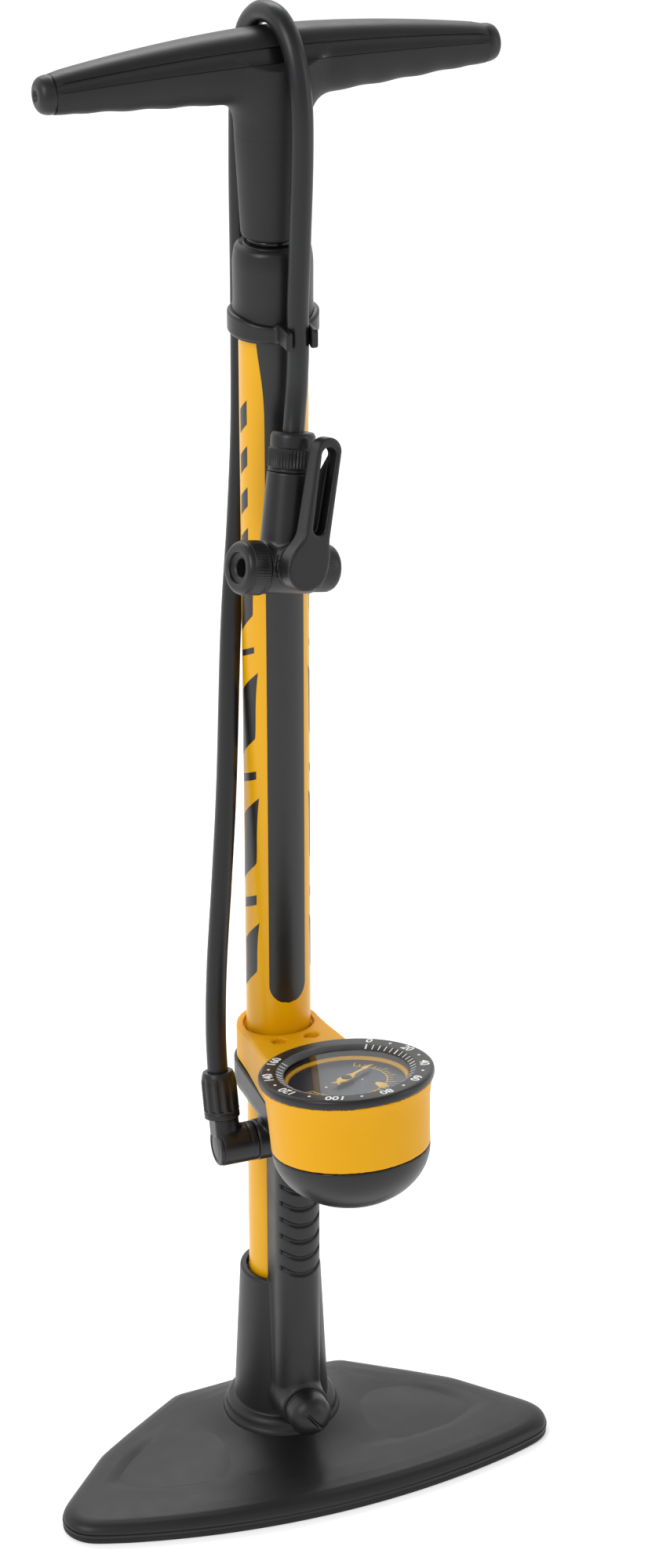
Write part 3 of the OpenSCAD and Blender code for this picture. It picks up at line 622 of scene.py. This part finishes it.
# ---- gauge housing -------------------------------------------------------------------
BOWL_Z = [-36, -30, -24, -18, -13, -9, -6.5, -4.5]
BOWL_R = [35.8, 36.0, 36.3, 36.6, 37.0, 37.6, 38.2, 38.8]
COLLAR_R, COLLAR_TOP, SEAM, BOWL_H = 19.7, 233, 215.5, 27.5
SCREW_X, SCREW_Y = 7.8, -22.5


def bowl(x, y, z):
    """Height in the gauge's frame, distance from its axis, and distance from the bowl's wall."""
    gx, gy, gz = local(GAUGE, x, y, z)
    rg = np.hypot(gx, gy)
    return gz, rg, rg - np.interp(gz, BOWL_Z, BOWL_R)


def seam_height(y):
    """Height of the joint between the yellow and the black moulding on the arm."""
    return SEAM + 12 * ease(44, 66, -y)


def arm(x, y, r):
    """Plan of the arm from the collar to the bowl."""
    q = np.clip(-y, 0, 70)
    return np.hypot(x, y + q) - r


def upper_field(x, y, z):
    """The yellow moulding: the cup's wall, the arm and the collar round the barrel."""
    gz, rg, wall = bowl(x, y, z)
    cup = both(wall, np.maximum(gz + 4.5, -35.85 - gz), 0.5)
    width = COLLAR_R + 1.5 * ease(5, 40, -y)
    top = COLLAR_TOP + 0.15 * np.clip(-y, 0, 50)
    web = both(arm(x, y, width), np.maximum((z - top) * 0.98, (seam_height(y) + 0.15 - z)), 1.4)
    d = join(cup, web, 3.0)
    d = np.maximum(d, -35.85 - gz - 60 * (y > -48))
    d = carve(d, both(rg - 35.2, -6.2 - gz, 0.2), 0.4)
    r = np.hypot(x, y)
    d = carve(d, r - 15.08, 0.1)
    d = carve(d, both(r - 16.4, 231.2 - z, 0.2), 0.7)
    for sx in (-SCREW_X, SCREW_X):
        hole = both(np.hypot(x - sx, y - SCREW_Y) - 3.5, COLLAR_TOP - z, 0.8)
        d = carve(d, hole, 0.9)
    return d


def lower_field(x, y, z):
    """The black moulding: the round bottom, the arm's underside and the outlet boss."""
    gz, rg, wall = bowl(x, y, z)
    scale = np.sqrt((rg / 35.8) ** 2 + (np.minimum(gz + 36, 0) / BOWL_H) ** 2)
    cup = both((scale - 1) * 30, gz + 36.15, 0.5)
    g = ease(183, 206, z)
    width = 11 + (COLLAR_R + 1.2 - 11) * g
    near, far = 5 * (1 - g), 23 + 25 * ease(188, 212, z)
    q = np.clip(-y, near, far)
    over = z - seam_height(y) + 0.15
    web = both(np.hypot(x, y + q) - width, np.maximum(over, 182.05 - z), 0.8)
    collar = both(np.hypot(x, y) - COLLAR_R, np.maximum(z - SEAM + 0.15, 202 - z), 1.0)
    web = join(web, collar, 2.0)
    web = carve(web, both(wall - 0.2, np.maximum(gz - 10, -36.1 - gz), 0.2), 0.3)
    d = join(web, cup, 3.0)
    d = np.maximum(d, over)
    boss = both(np.hypot(y + 32, z - 192) - 9.5, np.abs(x + 12) - 12, 0.8)
    d = join(d, boss, 2.5)
    return carve(d, np.hypot(x, y) - 15.08, 0.1)


solid("gauge_arm", upper_field, (-41, -131, 208), (43, 22, 264), 0.75, "frame", AMBER,
      slot="yellow_plastic", replaces=["housing_upper"], sharp=50)
solid("gauge_cup", lower_field, (-38, -134, 176), (41, 22, 232), 0.75, "frame", BLACK,
      slot="black_plastic", replaces=["housing_lower"], sharp=50)
for sx in (-7.8, 7.8):
    side = "left" if sx < 0 else "right"
    lathe(f"screw_plug_{side}", rounded([(0, 0), (3.2, 0), (3.2, 1.7), (2.2, 1.9), (0, 1.3)],
                                        0.4), "frame", AMBER, matrix((sx, -22.5, 232.0)),
          n=32, slot="yellow_plastic", replaces=["bracket_screws"] if sx < 0 else ())


# ---- gauge face ----------------------------------------------------------------------
lathe("bezel_ring", rounded([(28.1, -2.1), (28.2, -1.75), (31.4, -0.25), (32.2, -0.05),
                             (37.9, 0), (39.1, -0.5), (39.5, -1.4), (39.5, -3.2), (39.0, -4.4),
                             (36, -4.45), (35.7, -2.4), (32, -2.3), (28.1, -2.1)],
                            [0.2, 0.3, 0.3, 0.4, 0.8, 0.5, 0.7, 0.5, 0.3, 0.3, 0.2], 4)[:-1],
      "frame", BLACK, GAUGE, n=160, loop=True, slot="black_plastic", replaces=["bezel"])
lathe("dial_well", rounded([(26.3, -5.9), (26.5, -5.3), (27.6, -4.7), (34.6, -4.7),
                            (34.6, -5.9), (26.3, -5.9)], 0.2, 3)[:-1],
      "frame", AMBER, GAUGE, n=128, loop=True, slot="yellow_plastic", replaces=["dial_ring"])
lathe("dial_wall", rounded([(27.9, -3.1), (27.9, -4.6), (31.5, -4.6), (31.5, -3.1), (27.9, -3.1)],
                           0.15)[:-1],
      "frame", BLACK, GAUGE, n=128, loop=True, slot="black_plastic")


def flat(name, shapes, z, thick, mat, body="frame", slot=None, replaces=()):
    """Flat marks on the gauge plane: each shape is a closed outline, counter-clockwise."""
    verts, faces = [], []
    for shape in shapes:
        n, base = len(shape), len(verts)
        verts += [(x, y, z) for x, y in shape] + [(x, y, z - thick) for x, y in shape]
        faces.append(list(range(base, base + n)))
        faces += [[base + i, base + n + i, base + n + (i + 1) % n, base + (i + 1) % n]
                  for i in range(n)]
    return add(name, verts, faces, body, mat, GAUGE, slot=slot, replaces=replaces, sharp=20)


def polar(r, degrees):
    a = math.radians(degrees)
    return np.array((r * math.cos(a), r * math.sin(a)))


def bar_mark(a, r0, r1, w0, w1=None):
    w1 = w0 if w1 is None else w1
    side = polar(1, a + 90)
    return [polar(r0, a) - side * w0 / 2, polar(r1, a) - side * w1 / 2,
            polar(r1, a) + side * w1 / 2, polar(r0, a) + side * w0 / 2]


def disc(c, r, n=16):
    return [np.array(c) + polar(r, 360 * i / n) for i in range(n)]


NUMBER_AT = {"0": 52, "20": 17, "40": -17, "60": -48, "80": -80, "100": -118, "120": -158,
             "140": 169, "160": 137}
NUMBER_R = 35.0
number_pieces = []
for word, at in NUMBER_AT.items():
    curve = bpy.data.curves.new("number", "FONT")
    curve.body, curve.size, curve.extrude = word, 5.9, 0.06
    curve.align_x, curve.align_y = "CENTER", "CENTER"
    curve.offset = 0.11
    holder = bpy.data.objects.new("number", curve)
    mesh = bpy.data.meshes.new_from_object(holder)
    mesh.transform(GAUGE @ matrix((*polar(NUMBER_R, at), 0.0), [("Z", at - 90)])
                   @ Matrix.Diagonal((1.05, 1.0, 1, 1)))
    number_pieces.append(mesh)
    bpy.data.objects.remove(holder)
    bpy.data.curves.remove(curve)
verts, faces = [], []
for mesh in number_pieces:
    base = len(verts)
    verts += [tuple(v.co) for v in mesh.vertices]
    faces += [[base + i for i in p.vertices] for p in mesh.polygons]
    bpy.data.meshes.remove(mesh)
add("gauge_numbers", verts, faces, "frame", PRINT_WHITE, sharp=20)
turns = [at if at <= NUMBER_AT["0"] else at - 360 for at in NUMBER_AT.values()]
dots = [disc(polar(NUMBER_R, (a + b) / 2), 0.7) for a, b in zip(turns, turns[1:])]
flat("bezel_dots", dots, 0.05, 0.1, PRINT_WHITE)


# ---- dial ------------------------------------------------------------------------------
def bevel_mark(a, r0, r1, width):
    """Eight corners of a tick that lies on the inner bevel of the bezel."""
    side = polar(1, a + 90) * width / 2
    top = [(*(polar(r, a) + k * side), -1.75 + (r - 28.2) * 0.469 + 0.08)
           for r, k in ((r0, -1), (r1, -1), (r1, 1), (r0, 1))]
    return top + [(x, y, z - 0.3) for x, y, z in top]


verts, faces = [], []
for i in range(45):
    base = len(verts)
    verts += bevel_mark(52 - i * 275 / 44, 28.7, 31.3, 0.7 if i % 5 == 0 else 0.45)
    faces += [[base, base + 1, base + 2, base + 3]]
    faces += [[base + k, base + 4 + k, base + 4 + (k + 1) % 4, base + (k + 1) % 4]
              for k in range(4)]
add("bezel_ticks", verts, faces, "frame", PRINT_WHITE, GAUGE, sharp=20)
arcs = []
for i in range(31):
    a = 60 - i * 7.6
    arcs.append(bar_mark(a, 18.4, 22.4 if i % 3 == 0 else 20.8, 0.42))
outer = [polar(18.4, 60 - i * 4) for i in range(58)]
inner = [polar(18.0, 60 - i * 4) for i in range(58)]
arcs += [[inner[i], outer[i], outer[i + 1], inner[i + 1]][::-1] for i in range(57)]
arcs.append([(10.2, -15.4), (14.2, -15.6), (14.6, -10.8), (11.6, -7.4), (9.9, -9)])
flat("dial_marks", arcs, -5.86, 0.06, PRINT_GOLD, slot="dial_plate")
whites = [disc((-10.8, -2.6), 0.7), disc((-4.1, -2.4), 0.55), disc((6.8, -1.7), 0.5)]
whites += [bar_mark(196 + i * 8, 19.6, 22.6, 0.4) for i in range(4)]
flat("dial_dots", whites, -5.85, 0.06, PRINT_WHITE)
NEEDLE_A = 32


def turned(points, degrees):
    c, s = math.cos(math.radians(degrees)), math.sin(math.radians(degrees))
    return [np.array((x * c - y * s, x * s + y * c)) for x, y in points]


needle_shape = turned([(-8.5, -2.2), (-6, -1.1), (-3.4, -2.6), (2.2, -2.5), (5.2, -0.9),
                       (12.6, -0.6), (12.8, -1.3), (18.5, 0), (12.8, 1.3), (12.6, 0.6),
                       (5.2, 0.9), (2.2, 2.5), (-3.4, 2.6), (-6, 1.1), (-8.5, 2.2),
                       (-7.2, 0)], NEEDLE_A)
flat("pointer", [needle_shape], -4.1, 0.5, PRINT_GOLD, "needle", "brass", ["needle"])
lathe("pointer_hub", rounded([(0, -4.4), (2.3, -4.4), (2.3, -3.7), (0, -3.4)], 0.4),
      "needle", BLACK, GAUGE, n=32, slot="black_plastic")


# ---- outlet elbow and hose nut ---------------------------------------------------------
def elbow_field(x, y, z):
    body = both(np.hypot(y + 32, z - 192) - 9.2, np.maximum(-41 - x, x + 24.1), 0.7)
    lx, ly, lz = local(ELBOW, x, y, z)
    stub = both(np.hypot(lx, ly) - 7.4, np.maximum(5 - lz, lz - 14), 0.4)
    d = join(body, stub, 1.6)
    d = both(d, -43.2 - x, 0.8)
    ring = np.sqrt((np.hypot(y + 32, z - 192) - 9.3) ** 2 + (x + 27.5) ** 2) - 0.35
    return carve(d, ring, 0.3)


solid("outlet_elbow", elbow_field, (-47, -44, 180), (-23, -20, 208), 0.6, "frame", BLACK,
      slot="black_plastic", replaces=["swivel_elbow"], sharp=50)
lathe("outlet_cap", rounded([(8.9, 0.0), (8.9, 0.9), (8.3, 1.6), (7.2, 1.7), (6.6, 1.1),
                             (4.5, 1.7), (0, 1.9)], [0.2, 0.6, 0.3, 0.4, 1.5], 4),
      "frame", BLACK, matrix((-41.02, -32, 192), [("Y", -90)]), n=64,
      slot="black_plastic", replaces=["elbow_cap"])
lathe("hose_nut_body", rounded([(5.2, 14.1), (8.2, 14.1), (8.2, 16.6), (7.8, 17.1),
                                (8.35, 17.8), (8.35, 24), (8.3, 31.2), (7.5, 34.4),
                                (6.9, 36), (4.75, 36), (5.2, 14.1)],
                               [0.4, 0.4, 0.2, 0.5, 1, 1, 1.5, 0.5, 0.3], 4)[:-1],
      "frame", BLACK, ELBOW, n=144, wave=ribs(12, 0.085, 18.0, 32.6), loop=True,
      slot="black_plastic", replaces=["hose_nut"], sharp=60)


# ---- top cap, clip and bumper ------------------------------------------------------------
lathe("cap_body", rounded([(15.1, 573), (18.6, 573), (18.2, 579), (17.2, 586), (17.3, 600),
                           (17.3, 606), (16.4, 611.6), (14.2, 613.3), (13.4, 612.2),
                           (12.6, 613.4), (6.4, 613.4), (6.4, 604), (15.1, 602),
                           (15.1, 573)],
                          [0.5, 4, 6, 4, 6, 3, 1, 0.5, 0.6, 0.3, 0.3, 0.3], 6)[:-1],
      "frame", BLACK, n=128, loop=True, slot="black_plastic", replaces=["top_cap"])


def clip_field(x, y, z):
    r = np.hypot(x, y)
    top = 583.4 - 2.6 * ease(4, 22, -y)
    ring = both(r - 19.8, np.maximum((z - top) * 0.97, 574 - z), 1.2)
    cx, cy = x - 2, y + 25.3
    jaw = np.maximum(np.abs(cx) - 7.2, np.abs(y + 24) - 7.0)
    jaw = both(jaw, np.maximum(z - 582.6, 574.2 - z), 1.4)
    d = join(ring, jaw, 1.5)
    d = carve(d, r - 17.0, 0.1)
    d = carve(d, np.hypot(cx, cy) - (HOSE_D / 2 + 0.3), 0.4)
    return carve(d, np.maximum(np.abs(cx) - 4.3, cy), 0.6)


solid("hose_clip_ring", clip_field, (-22, -34, 572), (22, 22, 587), 0.55, "frame", BLACK,
      slot="black_plastic", replaces=["hose_clip"], sharp=50)
lathe("bumper_ring", rounded([(6.4, 613.4), (10.9, 613.4), (11.2, 614.6), (10.6, 615.9),
                              (6.4, 615.9)], [0.4, 0.8, 0.5], 4),
      "frame", GLOSS, n=96, loop=True, slot="rubber", replaces=["rod_bumper"])


# ---- handle --------------------------------------------------------------------------------
HANDLE_Z, REACH = 690.0, 97.0


def bar_sizes(x):
    f = np.abs(x) / REACH
    return 15.2 - 7 * f ** 1.6, 13.6 - 5.4 * f ** 1.5, HANDLE_Z - 2.4 * f ** 2


def bar_field(x, y, z):
    """The bar, its finger dips and the fillet into the neck."""
    h, w, mid = bar_sizes(x)
    u, v = np.abs(y / w), np.abs((z - mid) / h)
    n = 2.45
    d = ((u ** n + v ** n) ** (1 / n) - 1) * np.minimum(h, w) * 0.92
    under = ease(0, 0.7, -(z - mid) / h)
    scallop = 0.2 * (1 - np.cos((np.abs(x) - 30) * math.radians(20)))
    d = d + scallop * under * ease(28, 34, np.abs(x)) * ease(0, 6, 93 - np.abs(x))
    neck = np.hypot(x, y) - (13.5 + (z - 617.2) * 2.5 / 46)
    neck = np.maximum(neck, z - 690)
    return join(d, neck, 9.0)


def cast(x, angle, lift=0.0):
    """Where rays from the bar's middle line leave the handle."""
    mid = bar_sizes(x)[2]
    lo, hi = np.zeros_like(x), np.full_like(x, 60.0)
    for _ in range(34):
        r = (lo + hi) / 2
        inside = bar_field(x, r * np.cos(angle), mid + r * np.sin(angle)) < 0
        inside &= mid + r * np.sin(angle) > 645
        lo, hi = np.where(inside, r, lo), np.where(inside, hi, r)
    r = lo + lift
    return np.stack([x, r * np.cos(angle), mid + r * np.sin(angle)], -1)


PANEL, BAND = 40, 13
stops = [(a, 0.35, 0) for a in np.linspace(PANEL, 180 - PANEL, 41)]
back_side = [(180 - PANEL + 0.8, -0.5, 1), *[(a, -0.5, 1) for a in
             np.linspace(180 - PANEL + 2, 180 - BAND - 1, 7)], (180 - BAND, -0.05, 2)]
grip = [(a, 0.0, 2) for a in np.linspace(180 - BAND + 1, 360 + BAND - 1, 130)]
front_side = [(360 + 180 - a, lift, kind) for a, lift, kind in back_side[::-1]]
stops = stops + back_side + grip + front_side
stop_a = np.radians([s[0] for s in stops])
stop_lift = np.array([s[1] for s in stops])
kinds = [s[2] for s in stops]
stations = np.unique(np.concatenate([np.linspace(-97, 97, 98), np.linspace(-30, 30, 61),
                                     np.linspace(-18, -13, 26), np.linspace(13, 18, 26)]))
xx, aa = np.meshgrid(stations, stop_a, indexing="ij")
fade = ease(0, 5, 97 - np.abs(xx))
rings = cast(xx, aa, stop_lift[None] * fade)
verts, faces = skin(rings)
index = []
for face in faces:
    kind, following = (kinds[(face[0] + k) % len(stops)] for k in (0, 1))
    index.append(kind if len(face) == 4 and kind == following else 1)
add("handle_bar", verts, faces, "plunger", [SATIN, GLOSS, SOFT], HANDLE, slot="black_plastic",
    replaces=["handle_core", "handle_grip_left", "handle_grip_right"], sharp=30, index=index)
lathe("handle_neck", rounded([(0, 616), (12.9, 616), (13.56, 617.6), (15.9, 660.0),
                              (15.7, 663), (0, 663)], [0.8, 0.8, 0.1, 0.1], 4),
      "plunger", SOFT, n=128, slot="black_plastic")
END_CAP = rounded([(0, 0), (8.0, 0.0), (8.3, 2.6), (7.4, 5.8), (5.2, 7.4), (2.6, 7.5),
                   (1.8, 6.2), (0, 6.0)], [0.3, 1.8, 2, 1.5, 0.8, 0.6], 5)
for side, sign in (("left", -1), ("right", 1)):
    lathe(f"end_cap_{side}", END_CAP, "plunger", SATIN,
          HANDLE @ matrix((sign * 96.4, 0, HANDLE_Z - 2.4), [("Y", sign * 90)]), n=72,
          slot="black_plastic", replaces=[f"handle_cap_{side}"])


# ---- twin-nozzle head ----------------------------------------------------------------------
lathe("head_collar_ring", rounded([(4.9, 0.0), (8.6, 0.0), (9.7, -1.6), (9.7, -6.2),
                                   (9.45, -6.6), (10.2, -7.2), (10.2, -10), (10.2, -15.2),
                                   (9.5, -15.7), (9.9, -16.1), (9.9, -17), (4.9, -17),
                                   (4.9, 0.0)],
                                  [0.5, 0.8, 0.3, 0.2, 0.3, 1, 0.3, 0.2, 0.2, 0.2, 0.2], 4)[:-1],
      "frame", BLACK, HEAD, n=216, wave=ribs(44, 0.055, -14.9, -7.4), loop=True,
      slot="black_plastic", replaces=["head_collar"], sharp=60)


def head_field(x, y, z):
    r = np.hypot(x, y)
    stem = both(r - (10.2 + (-17.1 - z) * 0.75 / 24), np.maximum(z + 17.3, CROSS_Z - z), 0.6)
    cross = both(np.hypot(y, z - CROSS_Z) - 11.2, np.abs(x) - 12.8, 0.8)
    d = join(stem, cross, 2)
    px, pz = x - PIVOT_X, z - PIVOT_Z
    boss = both(np.hypot(px, pz) - 8.8, np.maximum(y + 4, -14.3 - y), 0.6)
    d = join(d, boss, 1.2)
    lip = both(np.hypot(px, pz) - 9.7, np.abs(y + 12.6) - 1.0, 0.4)
    return join(d, lip, 0.4)


solid("head_block", head_field, (-15, -16, -72), (15, 14, -15), 0.6, "frame", BLACK,
      HEAD, slot="black_plastic", replaces=["head_body"], sharp=50)
for side, sign, r, hole in (("left", -1, 11.8, 4.8), ("right", 1, 10.6, 4.2)):
    seat = HEAD @ matrix((sign * 13, 0, CROSS_Z), [("Y", sign * 90)])
    profile = rounded([(8.0, 0.0), (r - 0.5, 0.0), (r, 0.5), (r, 4), (r, 8.0),
                       (r - 0.35, 8.15), (r - 0.3, 8.5), (r - 0.6, 9.6), (r - 1.6, 10.7),
                       (r - 2.6, 11.0), (hole + 2.3, 11.0), (hole + 1.9, 10.6),
                       (hole + 1.7, 9.5), (hole + 0.2, 9.3), (hole - 0.9, 8.6),
                       (hole - 0.9, 7.6), (hole, 7.4), (hole, 5.0), (8.0, 5.0), (8.0, 0.0)],
                      [0.2, 0.3, 1, 0.15, 0.1, 0.1, 0.8, 0.8, 0.3, 0.25, 0.25, 0.3, 0.3,
                       0.2, 0.1, 0.1, 0.1, 0.1], 4)[:-1]
    lathe(f"nozzle_ring_{side}", profile, "frame", BLACK, seat, n=240,
          wave=ribs(60, 0.016, 0.8, 7.6), loop=True, slot="black_plastic",
          replaces=[f"nozzle_cap_{side}"], sharp=60)


ARM_MID, ARM_HALF, ARM_LEN = 2.7, 6.3, 56.0


def lever_field(x, y, z):
    """The round hub, the arm that leaves it off centre, and the long slot."""
    hub = np.hypot(x, y) - 9.9
    arm_ = np.hypot(x - ARM_MID, y - np.clip(y, 8, ARM_LEN - ARM_HALF)) - ARM_HALF
    plan = join(hub, arm_, 7.0)
    low = np.maximum(0.0, (y - 11) * 0.042)
    d = both(plan, np.maximum(z - 8.4, low - z), 1.0)
    half = 3.0 + 0.02 * (np.clip(y, 17, 50) - 17)
    slot = np.hypot(x - ARM_MID - 0.1, y - np.clip(y, 17.4, ARM_LEN - 7.9)) - half
    d = carve(d, both(slot, 2.6 - z, 0.8), 0.8)
    t = np.clip((y - 38) / 10.2, 0, 1)
    window = np.hypot(x - ARM_MID + 1.6 * (1 - t), y - (38 + 10.2 * t)) - (0.7 + 2.7 * t)
    return carve(d, window, 0.5)


solid("lever_arm", lever_field, (-11, -11, -1.5), (11, 57.5, 9.6), 0.5, "lever", BLACK, LEVER,
      slot="black_plastic", replaces=["lever"], sharp=50)


# ---- CAD nodes that stay, and their finishes ------------------------------------------------
FINISH = {
    "base_screws": STEEL, "lower_plug": BLACK, "plug_o_ring": RUBBER, "valve_cap_ring": RUBBER,
    "valve_ball": STEEL, "valve_spring": STEEL, "lens": CLEAR, "dial": DIAL,
    "sector_gear": BRASS, "movement_frame": BRASS, "bourdon_tube": BRASS, "rod_bush": SOFT,
    "piston_rod": ROD, "piston": SOFT, "piston_ring": RUBBER, "piston_bolt": STEEL,
    "handle_bolt": STEEL, "nozzle_seal_left": RUBBER, "nozzle_seal_right": RUBBER,
    "lever_pin": STEEL}
for name, mat in FINISH.items():
    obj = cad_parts[name]
    for s in obj.material_slots:
        s.material = mat
    if not obj.material_slots:
        obj.data.materials.append(mat)


# ---- floor and light ------------------------------------------------------------------------
mat, tree, bsdf = shader("studio_floor")
connect(tree, blend_colour(tree, noise(tree, 3, 2), (0.90, 0.90, 0.90), (0.94, 0.94, 0.94)),
        bsdf.inputs["Base Color"])
bsdf.inputs["Roughness"].default_value = 0.85
bsdf.inputs["Specular IOR Level"].default_value = 0.1
bsdf.inputs["Emission Color"].default_value = (1, 1, 1, 1)
bsdf.inputs["Emission Strength"].default_value = 0.3
FLOOR_HALF, FLOOR_Z = 9000, -0.2
corners = [(i * FLOOR_HALF, j * FLOOR_HALF, FLOOR_Z)
           for i, j in ((-1, -1), (1, -1), (1, 1), (-1, 1))]
floor = add("studio_floor", corners, [(0, 1, 2, 3)], None, mat, sharp=0)


def area(name, place, aim, size, size_y, power):
    """A soft rectangular light, in metres and watts."""
    light = bpy.data.lights.new(name, "AREA")
    light.shape, light.size, light.size_y = "RECTANGLE", size, size_y
    light.energy = power
    obj = bpy.data.objects.new(name, light)
    obj.location = place
    obj.rotation_euler = (Vector(aim) - Vector(place)).to_track_quat("-Z", "Y").to_euler()
    bpy.context.scene.collection.objects.link(obj)


view = bpy.context.scene.view_settings
view.view_transform, view.look = "Standard", "None"
area("key", (-1.7, -0.9, 1.9), (0, 0, 0.35), 0.9, 1.4, 22)
area("fill", (2.0, -1.2, 0.9), (0, 0, 0.4), 0.5, 1.6, 7)
area("top", (0.3, 1.3, 1.9), (0, 0, 0.1), 1.2, 0.6, 12)
world = bpy.data.worlds.new("studio")
bpy.context.scene.world = world
world.use_nodes = True
tree = world.node_tree
sky = tree.nodes.new("ShaderNodeTexCoord")
split = tree.nodes.new("ShaderNodeSeparateXYZ")
# brighter behind the pump and at middle height, for a sheen on the foot plate
back = tree.nodes.new("ShaderNodeMapRange")
for key, value in (("From Min", -0.2), ("From Max", 0.8), ("To Min", 0.85), ("To Max", 1.7)):
    back.inputs[key].default_value = value
height = tree.nodes.new("ShaderNodeValToRGB")
for where, level in ((0.24, 0.7), (0.42, 1.0), (0.54, 1.0), (0.74, 0.5)):
    stop = height.color_ramp.elements.new(where)
    stop.color = (level, level, level, 1)
height.color_ramp.elements[0].color = (0.7, 0.7, 0.7, 1)
height.color_ramp.elements[-1].color = (0.45, 0.45, 0.45, 1)
glow = tree.nodes.new("ShaderNodeMath")
glow.operation = "MULTIPLY"
connect(tree, sky.outputs["Generated"], split.inputs["Vector"])
connect(tree, split.outputs["Y"], back.inputs["Value"])
connect(tree, split.outputs["Z"], height.inputs["Fac"])
connect(tree, back.outputs["Result"], glow.inputs[0])
connect(tree, height.outputs["Color"], glow.inputs[1])
connect(tree, glow.outputs[0], tree.nodes["Background"].inputs["Strength"])
tree.nodes["Background"].inputs["Color"].default_value = (1, 1, 1, 1)
